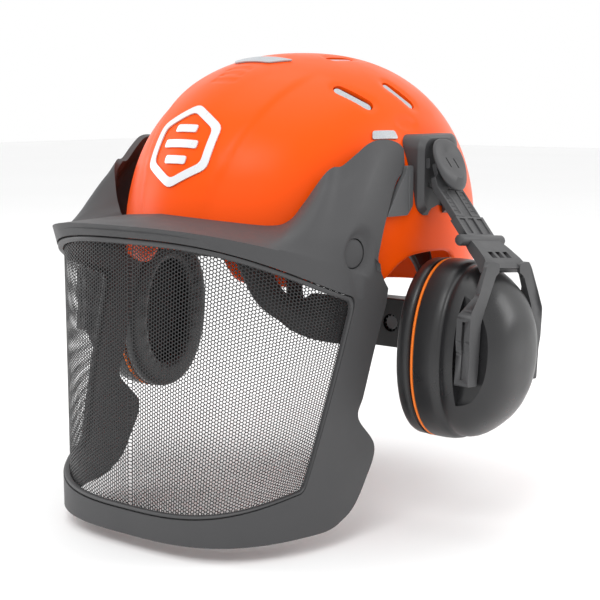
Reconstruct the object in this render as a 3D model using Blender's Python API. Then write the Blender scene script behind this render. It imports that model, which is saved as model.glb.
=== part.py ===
"""Forestry helmet: vented shell with suspension harness, lifting mesh visor and two ear muffs.

Metres, +Z up. The wearer looks along -Y and the wearer's left is +X. The origin is the middle of the
head at the height where the shell starts to close. Round sections are superellipses.
"""
import bpy
import bmesh
from math import asin, atan2, cos, exp, pi, radians, sin
from mathutils import Matrix, Vector

# Shell
SHELL_HALF = Vector((0.1048, 0.1330, 0.1159))
SHELL_WALL = 0.0030
PLAN_POWER = 1.9
PROFILE_POWER = 2.24
RIM_PROFILE = ((-0.1330, -0.0005), (-0.1190, -0.0030), (-0.1030, -0.0090), (-0.0860, -0.0145),
               (-0.0750, -0.0180), (-0.0600, -0.0215), (-0.0470, -0.0200), (-0.0360, -0.0115),
               (-0.0240, -0.0066), (0.0080, -0.0064), (0.0190, -0.0110), (0.0300, -0.0270),
               (0.0400, -0.0420), (0.0520, -0.0490), (0.0700, -0.0520), (0.0950, -0.0515),
               (0.1330, -0.0445))
GAP = 0.0003

# Visor: hinge axis along X through this point, and a flat round recess in the shell under its lobes
HINGE = Vector((0.0, -0.050, 0.044))
RECESS_RADIUS = 0.0255
RECESS_FLOOR = 0.0915
VISOR_WALL = 0.0036
WINDOW_SHARE = 0.80
STUD_RADIUS = 0.006
BUTTON_RADIUS = 0.0086
BUTTON_CENTRE = Vector((0.1016, -0.0845, -0.0010))

# Ear muffs: hub on the bracket, arm leaning out, cup hung on the yoke
HUB = Vector((0.1085, -0.0050, 0.0470))
MUFF_ROLL = radians(-5.3)
BRACKET_FACE = 0.1070
ARM_LEAN = radians(40.3)
ARM_KNEE = Vector((0.0080, 0.0, -0.0135))
CUP_FACE = 0.0135
CUP_DROP = -0.1100
CUP_HALF = (0.0385, 0.0540)
TILT_PIVOT = Vector((0.0490, 0.0, -0.1065))
PIN_RADIUS = 0.0026

# Headband and adjuster
BAND_HALF = (0.0790, 0.0990)
BAND_CENTRE_Y = 0.005
BAND_RISE = ((-0.0940, 0.0060), (-0.0100, 0.0060), (0.0060, 0.0035), (0.0180, -0.0060), (0.0360, -0.0350),
             (0.0480, -0.0510), (0.0620, -0.0660), (0.0760, -0.0740), (0.1050, -0.0750))
BAND_HALF_HEIGHT = ((-0.0940, 0.0150), (0.0000, 0.0150), (0.0250, 0.0210), (0.0480, 0.0220), (0.0700, 0.0180),
                    (0.1050, 0.0170))
STRAPS = (("left_diagonal", -60.6, -45.8, 0.0840, 8.0, 178.0),
          ("right_diagonal", 45.8, 60.6, 0.0858, 2.0, 172.0),
          ("cross", 4.0, -4.0, 0.0876, 8.0, 172.0))
RACK_CENTRE_Y = 0.041
RACK_RADIUS = 0.0670
KNOB_Z = -0.075
PINION_RADIUS = 0.0060

# Colours: base colour, roughness, metallic
ORANGE = ("orange_shell", (0.95, 0.16, 0.01), 0.35, 0.0)
GREY = ("grey_plastic", (0.085, 0.085, 0.088), 0.55, 0.0)
LIGHT_GREY = ("light_grey_plastic", (0.16, 0.16, 0.165), 0.45, 0.0)
DARK = ("dark_plastic", (0.035, 0.035, 0.037), 0.50, 0.0)
BLACK = ("black_plastic", (0.012, 0.012, 0.013), 0.50, 0.0)
CUSHION = ("black_cushion", (0.015, 0.015, 0.016), 0.45, 0.0)
SILVER = ("silver_film", (0.62, 0.63, 0.65), 0.30, 0.6)
MESH = ("black_wire_mesh", (0.03, 0.03, 0.03), 0.45, 0.5)
RING = ("orange_ring", (0.90, 0.24, 0.02), 0.45, 0.0)
FOAM = ("dark_foam", (0.03, 0.03, 0.03), 0.95, 0.0)
WEBBING = ("black_webbing", (0.015, 0.015, 0.016), 0.85, 0.0)


# ---------------------------------------------------------------- small tools
def clear_scene():
    for item in list(bpy.data.objects):
        bpy.data.objects.remove(item, do_unlink=True)


def finish(finish_values):
    name, colour, roughness, metallic = finish_values
    material = bpy.data.materials.get(name) or bpy.data.materials.new(name)
    material.use_nodes = True
    shader = material.node_tree.nodes["Principled BSDF"]
    shader.inputs["Base Color"].default_value = (*colour, 1.0)
    shader.inputs["Roughness"].default_value = roughness
    shader.inputs["Metallic"].default_value = metallic
    return material


def empty(name, location, parent=None, roll=0.0):
    axis = bpy.data.objects.new(name, None)
    axis.location = location
    axis.rotation_euler = (roll, 0.0, 0.0)
    axis.parent = parent
    bpy.context.collection.objects.link(axis)
    return axis


def body(name, points, faces, look, parent=None, smooth=True):
    mesh = bpy.data.meshes.new(name)
    mesh.from_pydata([tuple(p) for p in points], [], faces)
    work = bmesh.new()
    work.from_mesh(mesh)
    bmesh.ops.recalc_face_normals(work, faces=work.faces)
    work.to_mesh(mesh)
    work.free()
    mesh.materials.append(finish(look))
    if smooth:
        mesh.shade_smooth()
        mesh.set_sharp_from_angle(angle=radians(35))
    item = bpy.data.objects.new(name, mesh)
    item.parent = parent
    bpy.context.collection.objects.link(item)
    return item


def combine(item, tool, operation="DIFFERENCE"):
    change = item.modifiers.new(tool.name, "BOOLEAN")
    change.operation = operation
    change.solver = "EXACT"
    change.object = tool
    tool.hide_render = True
    tool.display_type = "WIRE"


def loft(loops):
    """Points and faces of a closed body through equal loops, with flat caps."""
    count = len(loops[0])
    points = [p for loop in loops for p in loop]
    faces = [list(range(count))[::-1], [len(points) - count + i for i in range(count)]]
    for row in range(len(loops) - 1):
        for i in range(count):
            j = (i + 1) % count
            a = row * count
            faces.append((a + i, a + j, a + count + j, a + count + i))
    return points, faces


def ring(loops):
    """Points and faces of a closed ring body: the loops go round its section and close on themselves."""
    count = len(loops[0])
    points = [p for loop in loops for p in loop]
    faces = []
    for row in range(len(loops)):
        a = row * count
        b = ((row + 1) % len(loops)) * count
        for i in range(count):
            j = (i + 1) % count
            faces.append((a + i, a + j, b + j, b + i))
    return points, faces


def slab(grid, depth):
    """A closed sheet: grid[row][column] of (point, normal), thickened inwards by depth."""
    rows, columns = len(grid), len(grid[0])
    points = [p for line in grid for p, n in line]
    points += [p - n * depth for line in grid for p, n in line]
    back = rows * columns
    faces = []
    for r in range(rows - 1):
        for c in range(columns - 1):
            quad = (r * columns + c, r * columns + c + 1, (r + 1) * columns + c + 1, (r + 1) * columns + c)
            faces.append(quad)
            faces.append(tuple(back + i for i in reversed(quad)))
    edge = [(0, c) for c in range(columns)] + [(r, columns - 1) for r in range(1, rows)]
    edge += [(rows - 1, c) for c in range(columns - 2, -1, -1)] + [(r, 0) for r in range(rows - 2, 0, -1)]
    around = [r * columns + c for r, c in edge]
    for i, a in enumerate(around):
        b = around[(i + 1) % len(around)]
        faces.append((a, back + a, back + b, b))
    return points, faces


def signed_power(value, power):
    return abs(value) ** power * (1 if value >= 0 else -1)


def oval(half_y, half_z, x, count=36, power=2.15, centre_z=CUP_DROP):
    loop = []
    for i in range(count):
        a = 2 * pi * i / count
        y = half_y * signed_power(cos(a), 2 / power)
        z = half_z * signed_power(sin(a), 2 / power)
        loop.append(Vector((x, y, centre_z + z)))
    return loop


def disc(radius, depth, count=32):
    """A round bar along +Z from 0 to depth."""
    return loft([[Vector((radius * cos(2 * pi * i / count), radius * sin(2 * pi * i / count), z))
                  for i in range(count)] for z in (0.0, depth)])


def along(points, start, direction):
    """Turns points built along +Z so that they run along direction from start."""
    turn = Vector((0, 0, 1)).rotation_difference(Vector(direction).normalized())
    return [turn @ p + Vector(start) for p in points]


def extrude(outline, low, high):
    """A body from a (y, z) outline between two X values, each a number or a function of the point."""
    def level(value, y, z):
        return value(y, z) if callable(value) else value
    return loft([[Vector((level(x, y, z), y, z)) for y, z in outline] for x in (low, high)])


def mirrored(points, side):
    return [Vector((p.x * side, p.y, p.z)) for p in points]


def smooth_curve(controls, share):
    """A Catmull-Rom curve through (share, point) controls."""
    keys = [key for key, point in controls]
    i = max(k for k in range(len(keys) - 1) if keys[k] <= share or k == 0)
    t = (share - keys[i]) / (keys[i + 1] - keys[i])
    p = [Vector(controls[min(max(k, 0), len(keys) - 1)][1]) for k in (i - 1, i, i + 1, i + 2)]
    return 0.5 * (2 * p[1] + (p[2] - p[0]) * t + (2 * p[0] - 5 * p[1] + 4 * p[2] - p[3]) * t ** 2
                  + (3 * p[1] - p[0] - 3 * p[2] + p[3]) * t ** 3)


# ---------------------------------------------------------------- shell
def from_table(table, key):
    """Value at key of a table of (key, value) pairs, with level ends and smooth steps between."""
    key = min(max(key, table[0][0]), table[-1][0])
    i = max(k for k in range(len(table) - 1) if table[k][0] <= key)
    t = (key - table[i][0]) / (table[i + 1][0] - table[i][0])
    slopes = []
    for k in (i, i + 1):
        low, high = max(k - 1, 0), min(k + 1, len(table) - 1)
        slopes.append((table[high][1] - table[low][1]) / (table[high][0] - table[low][0]))
    width = table[i + 1][0] - table[i][0]
    return (table[i][1] * (2 * t ** 3 - 3 * t ** 2 + 1) + table[i + 1][1] * (3 * t ** 2 - 2 * t ** 3)
            + width * (slopes[0] * (t ** 3 - 2 * t ** 2 + t) + slopes[1] * (t ** 3 - t ** 2)))


def rim_height(y):
    return from_table(RIM_PROFILE, y)


def dome(turn, rise, grow):
    """Point of the shell's surface: turn round the head, rise from the base (0) to the crown."""
    reach = cos(rise) ** (2 / PROFILE_POWER) if rise < pi / 2 else 0.0
    x = (SHELL_HALF.x + grow) * reach * signed_power(cos(turn), 2 / PLAN_POWER)
    y = (SHELL_HALF.y + grow) * reach * signed_power(sin(turn), 2 / PLAN_POWER)
    return Vector((x, y, (SHELL_HALF.z + grow) * sin(rise) ** (2 / PROFILE_POWER)))


def on_dome(direction, grow=0.0):
    """Where a ray from the origin meets the shell's surface, grown by grow."""
    a, b, c = (side + grow for side in SHELL_HALF)
    d = Vector(direction)
    plan = (abs(d.x) / a) ** PLAN_POWER + (abs(d.y) / b) ** PLAN_POWER
    size = plan ** (PROFILE_POWER / PLAN_POWER) + (abs(d.z) / c) ** PROFILE_POWER
    return d * size ** (-1 / PROFILE_POWER)


def dome_normal(point):
    step = 0.002
    up = on_dome(point + Vector((0, 0, step)))
    side = Vector((-point.y, point.x, 0)).normalized() * step
    here = on_dome(point)
    return (on_dome(point + side) - here).cross(up - here).normalized()


def hinge_relief(point):
    """The inner wall keeps clear of the hinge recess on each side."""
    r = ((point.y - HINGE.y) ** 2 + (point.z - HINGE.z) ** 2) ** 0.5
    limit = RECESS_FLOOR - SHELL_WALL + max(0.0, r - 0.034) * 0.9
    if abs(point.x) > limit:
        point.x = limit if point.x > 0 else -limit
    return point


def dome_rows(grow, around=56, rows=14, skirt=2):
    lines = []
    for r in range(rows):
        line = []
        for i in range(around):
            turn = 2 * pi * i / around
            foot = dome(turn, 0.0, grow)
            if r < skirt:
                foot.z = rim_height(foot.y) * (1 - r / skirt)
                line.append(foot)
            else:
                point = dome(turn, pi / 2 * (r - skirt) / (rows - skirt), grow)
                line.append(hinge_relief(point) if grow < 0 else point)
        lines.append(line)
    return lines


def shell():
    outer = dome_rows(0.0)
    inner = dome_rows(-SHELL_WALL)
    around = len(outer[0])
    points = [p for line in outer for p in line] + [p for line in inner for p in line]
    points += [Vector((0, 0, SHELL_HALF.z)), Vector((0, 0, SHELL_HALF.z - SHELL_WALL))]
    back = len(outer) * around
    faces = []
    for i in range(around):
        j = (i + 1) % around
        for r in range(len(outer) - 1):
            for base in (0, back):
                a = base + r * around
                faces.append((a + i, a + j, a + around + j, a + around + i))
        top = (len(outer) - 1) * around
        faces.append((top + i, top + j, len(points) - 2))
        faces.append((back + top + i, back + top + j, len(points) - 1))
        faces.append((i, j, back + j, back + i))
    item = body("shell", points, faces, ORANGE)
    for side in (1, -1):
        bar, sides = disc(RECESS_RADIUS, 0.020, 40)
        bar = along(bar, (side * RECESS_FLOOR, HINGE.y, HINGE.z), (side, 0, 0))
        combine(item, body(f"recess_cutter_{side}", bar, sides, ORANGE))
    return item


def oblong(length, width, count=10):
    """A slot outline with round ends, long side along X."""
    half, r = length / 2 - width / 2, width / 2
    ends = [(half, -pi / 2), (-half, pi / 2)]
    return [(x + r * cos(a + pi * i / count), r * sin(a + pi * i / count)) for x, a in ends
            for i in range(count + 1)]


def vents(shell_item):
    """Slots through the shell, each with a silver insert: name, place, long direction, length, width."""
    slots = (("front_side_vent", (0.067, -0.037, 0.0885), (0.0127, 0.010, -0.0087), 0.027, 0.0090),
             ("rear_side_vent", (0.0727, 0.0035, 0.0900), (0.010, 0.008, -0.010), 0.025, 0.0095),
             ("top_vent", (0.030, -0.003, 0.111), (0.0, 1.0, 0.0), 0.024, 0.0080))
    for name, place, heading, length, width in slots:
        for side, word in ((1, "left"), (-1, "right")):
            centre = on_dome((place[0] * side, place[1], place[2]))
            normal = dome_normal(centre)
            forward = Vector((heading[0] * side, heading[1], heading[2]))
            forward = (forward - normal * forward.dot(normal)).normalized()
            frame = Matrix((forward, normal.cross(forward), normal)).transposed()

            def bar(shrink, low, high):
                outline = oblong(length - 2 * shrink, width - 2 * shrink)
                loops = [[centre + frame @ Vector((u, v, w)) for u, v in outline] for w in (low, high)]
                return loft(loops)
            combine(shell_item, body(f"{name}_cutter_{word}", *bar(0.0, -0.008, 0.006), ORANGE))
            body(f"{name}_{word}", *bar(0.0004, -0.0032, -0.0012), SILVER)


def film(name, outline, place, look, low=GAP + 0.0001, high=0.0012, rows=3):
    """A thin plate that follows the shell: outline is (across, up) round the place it sits on."""
    centre = on_dome(place)
    normal = dome_normal(centre)
    across = Vector((0, 0, 1)).cross(normal)
    across = across.normalized() if across.length > 0.2 and abs(centre.x) > 0.01 else Vector((1, 0, 0))
    up = normal.cross(across)
    edge = []
    for (u, v), (next_u, next_v) in zip(outline, outline[1:] + outline[:1]):
        parts = max(1, round(((next_u - u) ** 2 + (next_v - v) ** 2) ** 0.5 / 0.006))
        edge += [(u + (next_u - u) * k / parts, v + (next_v - v) * k / parts) for k in range(parts)]
    loops = []
    for grow, shares in ((low, [k / rows for k in range(1, rows + 1)]),
                         (high, [k / rows for k in range(rows, 0, -1)])):
        for share in shares:
            loops.append([on_dome(centre + across * u * share + up * v * share, grow) for u, v in edge])
    body(name, *loft(loops), look)


def badges():
    hexagon = [(0.0260 * sin(pi * i / 3), 0.0290 * cos(pi * i / 3)) for i in range(6)]
    film("front_badge", hexagon, (0, -0.118, 0.060), SILVER)
    film("crown_reflector", [(-0.024, 0.006), (-0.014, -0.006), (0.014, -0.006), (0.024, 0.006)][::-1],
         (0, -0.047, 0.108), SILVER)
    for side, word in ((1, "left"), (-1, "right")):
        patch = [(-0.009, 0.0), (-0.007, 0.006), (0.008, 0.006), (0.009, 0.0)][::-1]
        film(f"side_reflector_{word}", patch, (side * 0.0875, -0.034, 0.0675), SILVER)


# ---------------------------------------------------------------- visor surface
UPPER_EDGE = ((0.00, (0.0000, -0.1360, 0.0200)), (0.20, (0.0380, -0.1255, 0.0170)),
              (0.34, (0.0600, -0.1090, 0.0145)), (0.42, (0.0690, -0.1025, 0.0175)),
              (0.48, (0.0760, -0.0985, 0.0270)), (0.58, (0.0848, -0.0905, 0.0430)),
              (0.68, (0.0895, -0.0780, 0.0475)), (0.80, (0.0950, -0.0620, 0.0480)),
              (0.90, (0.1000, -0.0470, 0.0470)), (1.00, (0.1015, -0.0345, 0.0440)))
REAR_EDGE = ((0.00, (0.1015, -0.0345, 0.0440)), (0.12, (0.1025, -0.0415, 0.0360)),
             (0.38, (0.1040, -0.0535, 0.0180)), (0.58, (0.1046, -0.0605, 0.0050)),
             (0.74, (0.1049, -0.0645, -0.0060)), (0.90, (0.1050, -0.0600, -0.0170)),
             (1.00, (0.1050, -0.0540, -0.0240)))
LIP_HALF, LIP_CENTRE, LIP_REACH = 0.1050, -0.0410, 0.1310
LIP_RISE, LIP_LOW = 0.0397, -0.0240
FRONT_POWER = 3.0

# Rows under the lip: height at the centre, at the window's rear edge and at the frame's rear edge,
# then how far back (Y) the window and the frame reach at that row
FRAME_ROWS = ((0.0083, -0.0260, -0.0330, -0.0834, -0.0550),
              (-0.0300, -0.0550, -0.0580, -0.0927, -0.0665),
              (-0.0720, -0.0840, -0.0860, -0.1020, -0.0770),
              (-0.1000, -0.1010, -0.1000, -0.1075, -0.0815),
              (-0.1250, -0.1200, -0.1210, -0.1135, -0.0660),
              (-0.1510, -0.1360, -0.1400, -0.1190, -0.0740),
              (-0.1670, -0.1680, -0.1670, -0.1190, -0.0910))


def front_arc(half, centre, reach, turn):
    return half * cos(turn) ** (2 / FRONT_POWER), centre - reach * sin(turn) ** (2 / FRONT_POWER)


def lip_edge(share):
    turn = radians(1.8 + 88.2 * (1 - share) ** 1.4)
    x, y = front_arc(LIP_HALF, LIP_CENTRE, LIP_REACH, min(turn, pi / 2 - 1e-9))
    rise = max(0.0, (-0.054 - y) / 0.118)
    return Vector((x, y, LIP_LOW + LIP_RISE * rise ** 0.95))


def upper_panel(share, down):
    """Peak and wing: share from the centre (0) to the rear (1), down from the upper edge to the lip."""
    top, low = smooth_curve(UPPER_EDGE, share), lip_edge(share)
    point = top.lerp(low, down)
    rear = smooth_curve(REAR_EDGE, down) - REAR_START.lerp(REAR_END, down)
    point += rear * share ** 4
    point.x += 0.003 * sin(pi * down) * min(1.0, max(0.0, (share - 0.45) / 0.3)) * (1 - share ** 6)
    return point


REAR_START, REAR_END = Vector(REAR_EDGE[0][1]), Vector(REAR_EDGE[-1][1])


def frame_row(share, row):
    """Window zone and frame: row 0 is the window's top edge, 5 its lower edge, 6 the bottom of the frame."""
    i = min(int(row), len(FRAME_ROWS) - 2)
    low = [a + (b - a) * (row - i) for a, b in zip(FRAME_ROWS[i], FRAME_ROWS[i + 1])]
    height, window_z, rear_z, window_y, rear_y = low
    fall = min(1.0, max(0.0, (-0.020 - window_z) / 0.147))
    half, reach, centre = 0.1045 - 0.006 * fall, 0.111 + 0.011 * fall, -0.055 + 0.006 * fall

    def turn_at(y):
        return asin(min(1.0, max(0.0, (centre - y) / reach)) ** (FRONT_POWER / 2))
    if share <= WINDOW_SHARE:
        turn = turn_at(window_y)
        turn += (pi / 2 - 1e-9 - turn) * (1 - share / WINDOW_SHARE) ** 1.3
        x, y = front_arc(half, centre, reach, turn)
        front = centre - reach
        z = window_z + (height - window_z) * max(0.0, (window_y - y) / (window_y - front)) ** 1.2
        return Vector((x, y, z))
    t = (share - WINDOW_SHARE) / (1 - WINDOW_SHARE)
    y = window_y + (rear_y - window_y) * t
    x, y_unused = front_arc(half, centre, reach, turn_at(y))
    return Vector((x, y, window_z + (rear_z - window_z) * t))


def two_sided(function, share, level):
    point = function(abs(share), level)
    return Vector((point.x if share >= 0 else -point.x, point.y, point.z))


def with_normal(function, share, level):
    step = 0.004
    across = two_sided(function, share + step, level) - two_sided(function, share - step, level)
    lower, upper = max(level - step, 0.0), level + step
    down = two_sided(function, share, upper) - two_sided(function, share, lower)
    return two_sided(function, share, level), down.cross(across).normalized()


def spread(low, high, count):
    return [low + (high - low) * i / (count - 1) for i in range(count)]


def visor_frame():
    shares = spread(-1.0, -WINDOW_SHARE, 5)[:-1] + spread(-WINDOW_SHARE, WINDOW_SHARE, 31)
    shares += spread(WINDOW_SHARE, 1.0, 5)[1:]
    levels = [(upper_panel, d) for d in (0.0, 0.15, 0.38, 0.58, 0.74, 0.88, 1.0)]
    levels += [(frame_row, r) for r in (0, 1, 2, 3, 4, 5, 5.5, 6)]
    points, faces = [], []
    columns = len(shares)
    for function, level in levels:
        points += [two_sided(function, min(0.9999, max(-0.9999, s)), level) for s in shares]
    window_rows = range(7, 12)
    for r in range(len(levels) - 1):
        for c in range(columns - 1):
            in_window = r in window_rows and 4 <= c < columns - 5
            if not in_window:
                a = r * columns + c
                faces.append((a, a + 1, a + columns + 1, a + columns))
    item = body("visor_frame", points, faces, GREY)
    wall = item.modifiers.new("wall", "SOLIDIFY")
    wall.thickness = VISOR_WALL
    wall.offset = -1.0
    for side, word in ((1, "left"), (-1, "right")):
        lobe, lobe_faces = extrude(LOBE_OUTLINE, lobe_inner, lambda y, z: lobe_inner(y, z) + 0.0045)
        combine(item, body(f"lobe_{word}", mirrored(lobe, side), lobe_faces, GREY), "UNION")
        bar, sides = disc(STUD_RADIUS + GAP, 0.0047)
        hole = along(bar, (0.0901, HINGE.y, HINGE.z), (1, 0, 0))
        combine(item, body(f"stud_hole_{word}", mirrored(hole, side), sides, GREY))
        bar, sides = disc(BUTTON_RADIUS + GAP, 0.018)
        hole = along(bar, BUTTON_CENTRE - BUTTON_AXIS * 0.009, BUTTON_AXIS)
        combine(item, body(f"button_hole_{word}", mirrored(hole, side), sides, GREY))
    return item


LOBE_OUTLINE = ((-0.0305, 0.045), (-0.0305, 0.056), (-0.035, 0.0605), (-0.047, 0.0625), (-0.062, 0.0615),
                (-0.070, 0.0575), (-0.076, 0.050), (-0.072, 0.038), (-0.060, 0.030), (-0.045, 0.031),
                (-0.035, 0.037))
BUTTON_AXIS = Vector((0.985, -0.170, 0.0)).normalized()


def lobe_inner(y, z):
    return 0.0950 + 0.14 * (y + 0.030)


def visor_mesh():
    """The wire mesh as one thin curved sheet behind the window; its holes belong to the looks."""
    reach = WINDOW_SHARE + 0.025
    grid = []
    for r in spread(0.06, 5.12, 8):
        line = []
        for s in spread(-reach, reach, 31):
            point, normal = with_normal(frame_row, s, r)
            line.append((point - normal * (VISOR_WALL + 0.0009), normal))
        grid.append(line)
    body("visor_mesh", *slab(grid, 0.0008), MESH)


def visor_trim():
    """A dark edge strip just inside the window, as one ring."""
    def loop(inset, depth):
        side, top, base = WINDOW_SHARE - inset * 1.6, inset * 6, 5 - inset * 12
        way = [(s, top) for s in spread(-side, side, 29)]
        way += [(side, r) for r in spread(top, base, 7)[1:]]
        way += [(s, base) for s in spread(side, -side, 29)[1:]]
        way += [(-side, r) for r in spread(base, top, 7)[1:-1]]
        ring_points = []
        for s, r in way:
            point, normal = with_normal(frame_row, s, r)
            ring_points.append(point - normal * depth)
        return ring_points
    loops = [loop(0.006, 0.0012), loop(0.020, 0.0012), loop(0.020, 0.0036), loop(0.006, 0.0036)]
    body("visor_trim", *ring(loops), DARK)


def visor_fittings():
    plate_outline = ((-0.0262, 0.0470), (-0.0262, 0.0230), (-0.0320, 0.0175), (-0.0525, 0.0178),
                     (-0.0515, 0.0195), (-0.0405, 0.0355), (-0.0335, 0.0432), (-0.0335, 0.0470))
    for side, word in ((1, "left"), (-1, "right")):
        mirror = Matrix.Diagonal((side, 1, 1))
        bar, sides = disc(STUD_RADIUS, 0.0026)
        bar = along(bar, (RECESS_FLOOR + GAP, HINGE.y, HINGE.z), (1, 0, 0))
        body(f"visor_stud_{word}", mirrored(bar, side), sides, DARK)
        plate, faces = extrude(plate_outline, 0.1019, 0.1046)
        plate = [p + Vector((0, 0.0009, 0)) if p.y > -0.05 else p for p in plate]
        body(f"visor_side_plate_{word}", mirrored(plate, side), faces, LIGHT_GREY, smooth=False)
        slide = empty(f"button_axis_{word}", mirror @ BUTTON_CENTRE)
        bar, sides = disc(BUTTON_RADIUS, 0.0040)
        bar = along(bar, BUTTON_AXIS * -0.0046, BUTTON_AXIS)
        body(f"visor_button_{word}", mirrored(bar, side), sides, GREY, slide)
        loops = [[Vector((r * cos(2 * pi * i / 32), r * sin(2 * pi * i / 32), z)) for i in range(32)]
                 for r, z in ((0.0112, 0.0), (0.0112, 0.0058), (0.0090, 0.0058), (0.0090, 0.0015))]
        cup, cup_faces = loft(loops)
        cup = along(cup, BUTTON_CENTRE - BUTTON_AXIS * 0.0108, BUTTON_AXIS)
        body(f"button_cup_{word}", mirrored(cup, side), cup_faces, DARK)


# ---------------------------------------------------------------- ear muffs
def rounded(y_low, y_high, z_low, z_high, radius, count=4):
    """A (y, z) rectangle with round corners."""
    corners = ((y_high - radius, z_high - radius, 0), (y_low + radius, z_high - radius, 90),
               (y_low + radius, z_low + radius, 180), (y_high - radius, z_low + radius, 270))
    return [(y + radius * cos(radians(start + 90 * i / count)), z + radius * sin(radians(start + 90 * i / count)))
            for y, z, start in corners for i in range(count + 1)]


def dome_tool(name, grow):
    """The shell's outer form, grown, as a solid to cut what sits on it."""
    rows = dome_rows(grow)
    around = len(rows[0])
    points, faces = loft([[Vector((p.x, p.y, -0.03)) for p in rows[0]]] + rows[2:])
    faces = faces[:1] + faces[2:]
    points.append(Vector((0, 0, SHELL_HALF.z + grow)))
    top = len(points) - 1 - around
    faces += [(top + i, top + (i + 1) % around, len(points) - 1) for i in range(around)]
    return body(name, points, faces, ORANGE)


def muff_bracket(side, word):
    base = rounded(-0.0225, 0.032, 0.0155, 0.0655, 0.009)
    step = rounded(-0.0225, 0.020, 0.0160, 0.0650, 0.009)
    face = rounded(-0.0205, 0.012, 0.0190, 0.0630, 0.008)
    levels = ((base, 0.0780), (base, 0.0990), (step, 0.1040), (face, BRACKET_FACE))
    points, faces = loft([[Vector((x, y, z)) for y, z in outline] for outline, x in levels])
    item = body(f"muff_bracket_{word}", mirrored(points, side), faces, DARK)
    combine(item, bpy.data.objects.get("dome_cutter") or dome_tool("dome_cutter", 0.0006))
    well, sides = disc(0.0150, 0.0100, 36)
    well = along(well, (BRACKET_FACE - 0.0030, HUB.y, HUB.z), (1, 0, 0))
    combine(item, body(f"hub_well_{word}", mirrored(well, side), sides, DARK))


def lean(along_arm, out, y):
    """A point of the straight part of the arm: along it from the knee, out of its outer face, across."""
    return ARM_KNEE + Vector((sin(ARM_LEAN) * along_arm + cos(ARM_LEAN) * out, y,
                              -cos(ARM_LEAN) * along_arm + sin(ARM_LEAN) * out))


def leaning_bar(start, end, half_width, low, high):
    return loft([[lean(s, out, y) for y, out in ((-half_width, low), (half_width, low),
                                                 (half_width, high), (-half_width, high))]
                 for s in (start, end)])


def box(x_low, x_high, y_low, y_high, z_low, z_high):
    return extrude([(y_low, z_low), (y_high, z_low), (y_high, z_high), (y_low, z_high)], x_low, x_high)


def muff_hub(side, word, parent):
    """Round disc in the bracket's well, with the two lugs that hold the arm's hinge."""
    floor = BRACKET_FACE - HUB.x - 0.0027
    bar, sides = disc(0.0147, 0.0023, 36)
    item = body(f"muff_hub_{word}", mirrored(along(bar, (floor, 0, 0), (1, 0, 0)), side), sides, DARK, parent)
    for way in (-1, 1):
        y_low, y_high = sorted((way * 0.0104, way * 0.0126))
        lug, faces = box(floor + 0.0010, 0.0030, y_low, y_high, -0.0030, 0.0030)
        combine(item, body(f"hub_lug_{way}_{word}", mirrored(lug, side), faces, DARK, parent), "UNION")


def hub_cover(side, word, parent):
    """Leaf-shaped cover of the hinge, its wide end up and its tip down over the arm."""
    def inner(z):
        return 0.0005 + 0.29 * (0.0138 - z)
    outline = []
    for i in range(28):
        a = 2 * pi * i / 28
        width = 0.0130 * signed_power(sin(a), 0.85) * (1 + 0.16 * cos(a))
        outline.append((width, 0.0140 * cos(a)))
    loops = [[Vector((inner(z) + out, y * k, z * k)) for y, z in outline]
             for k, out in ((1.0, 0.0), (1.0, 0.0014), (0.86, 0.0028))]
    points, faces = loft(loops)
    body(f"hub_cover_{word}", mirrored(points, side), faces, DARK, parent)


def muff_arm(side, word, parent):
    neck = ((0.0030, 0.0005, 0.0002, -0.0007, 0.0100), (0.0052, -0.0060, 0.0024, -0.0072, 0.0100),
            (0.0059, -0.0080, 0.0028, -0.0094, 0.0140), (0.0080, -0.0135, 0.0046, -0.0156, 0.0140))
    loops = [[Vector((x_in, -half, z_in)), Vector((x_in, half, z_in)), Vector((x, half, z)),
              Vector((x, -half, z))] for x, z, x_in, z_in, half in neck]
    loops.append([lean(0.022, out, y) for y, out in ((-0.014, -0.004), (0.014, -0.004), (0.014, 0.0),
                                                     (-0.014, 0.0))])
    points, faces = loft(loops)
    item = body(f"muff_arm_{word}", mirrored(points, side), faces, DARK, parent)
    slot, slot_faces = leaning_bar(0.0012, 0.030, 0.0042, -0.008, 0.004)
    combine(item, body(f"arm_slot_{word}", mirrored(slot, side), slot_faces, DARK, parent))


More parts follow.
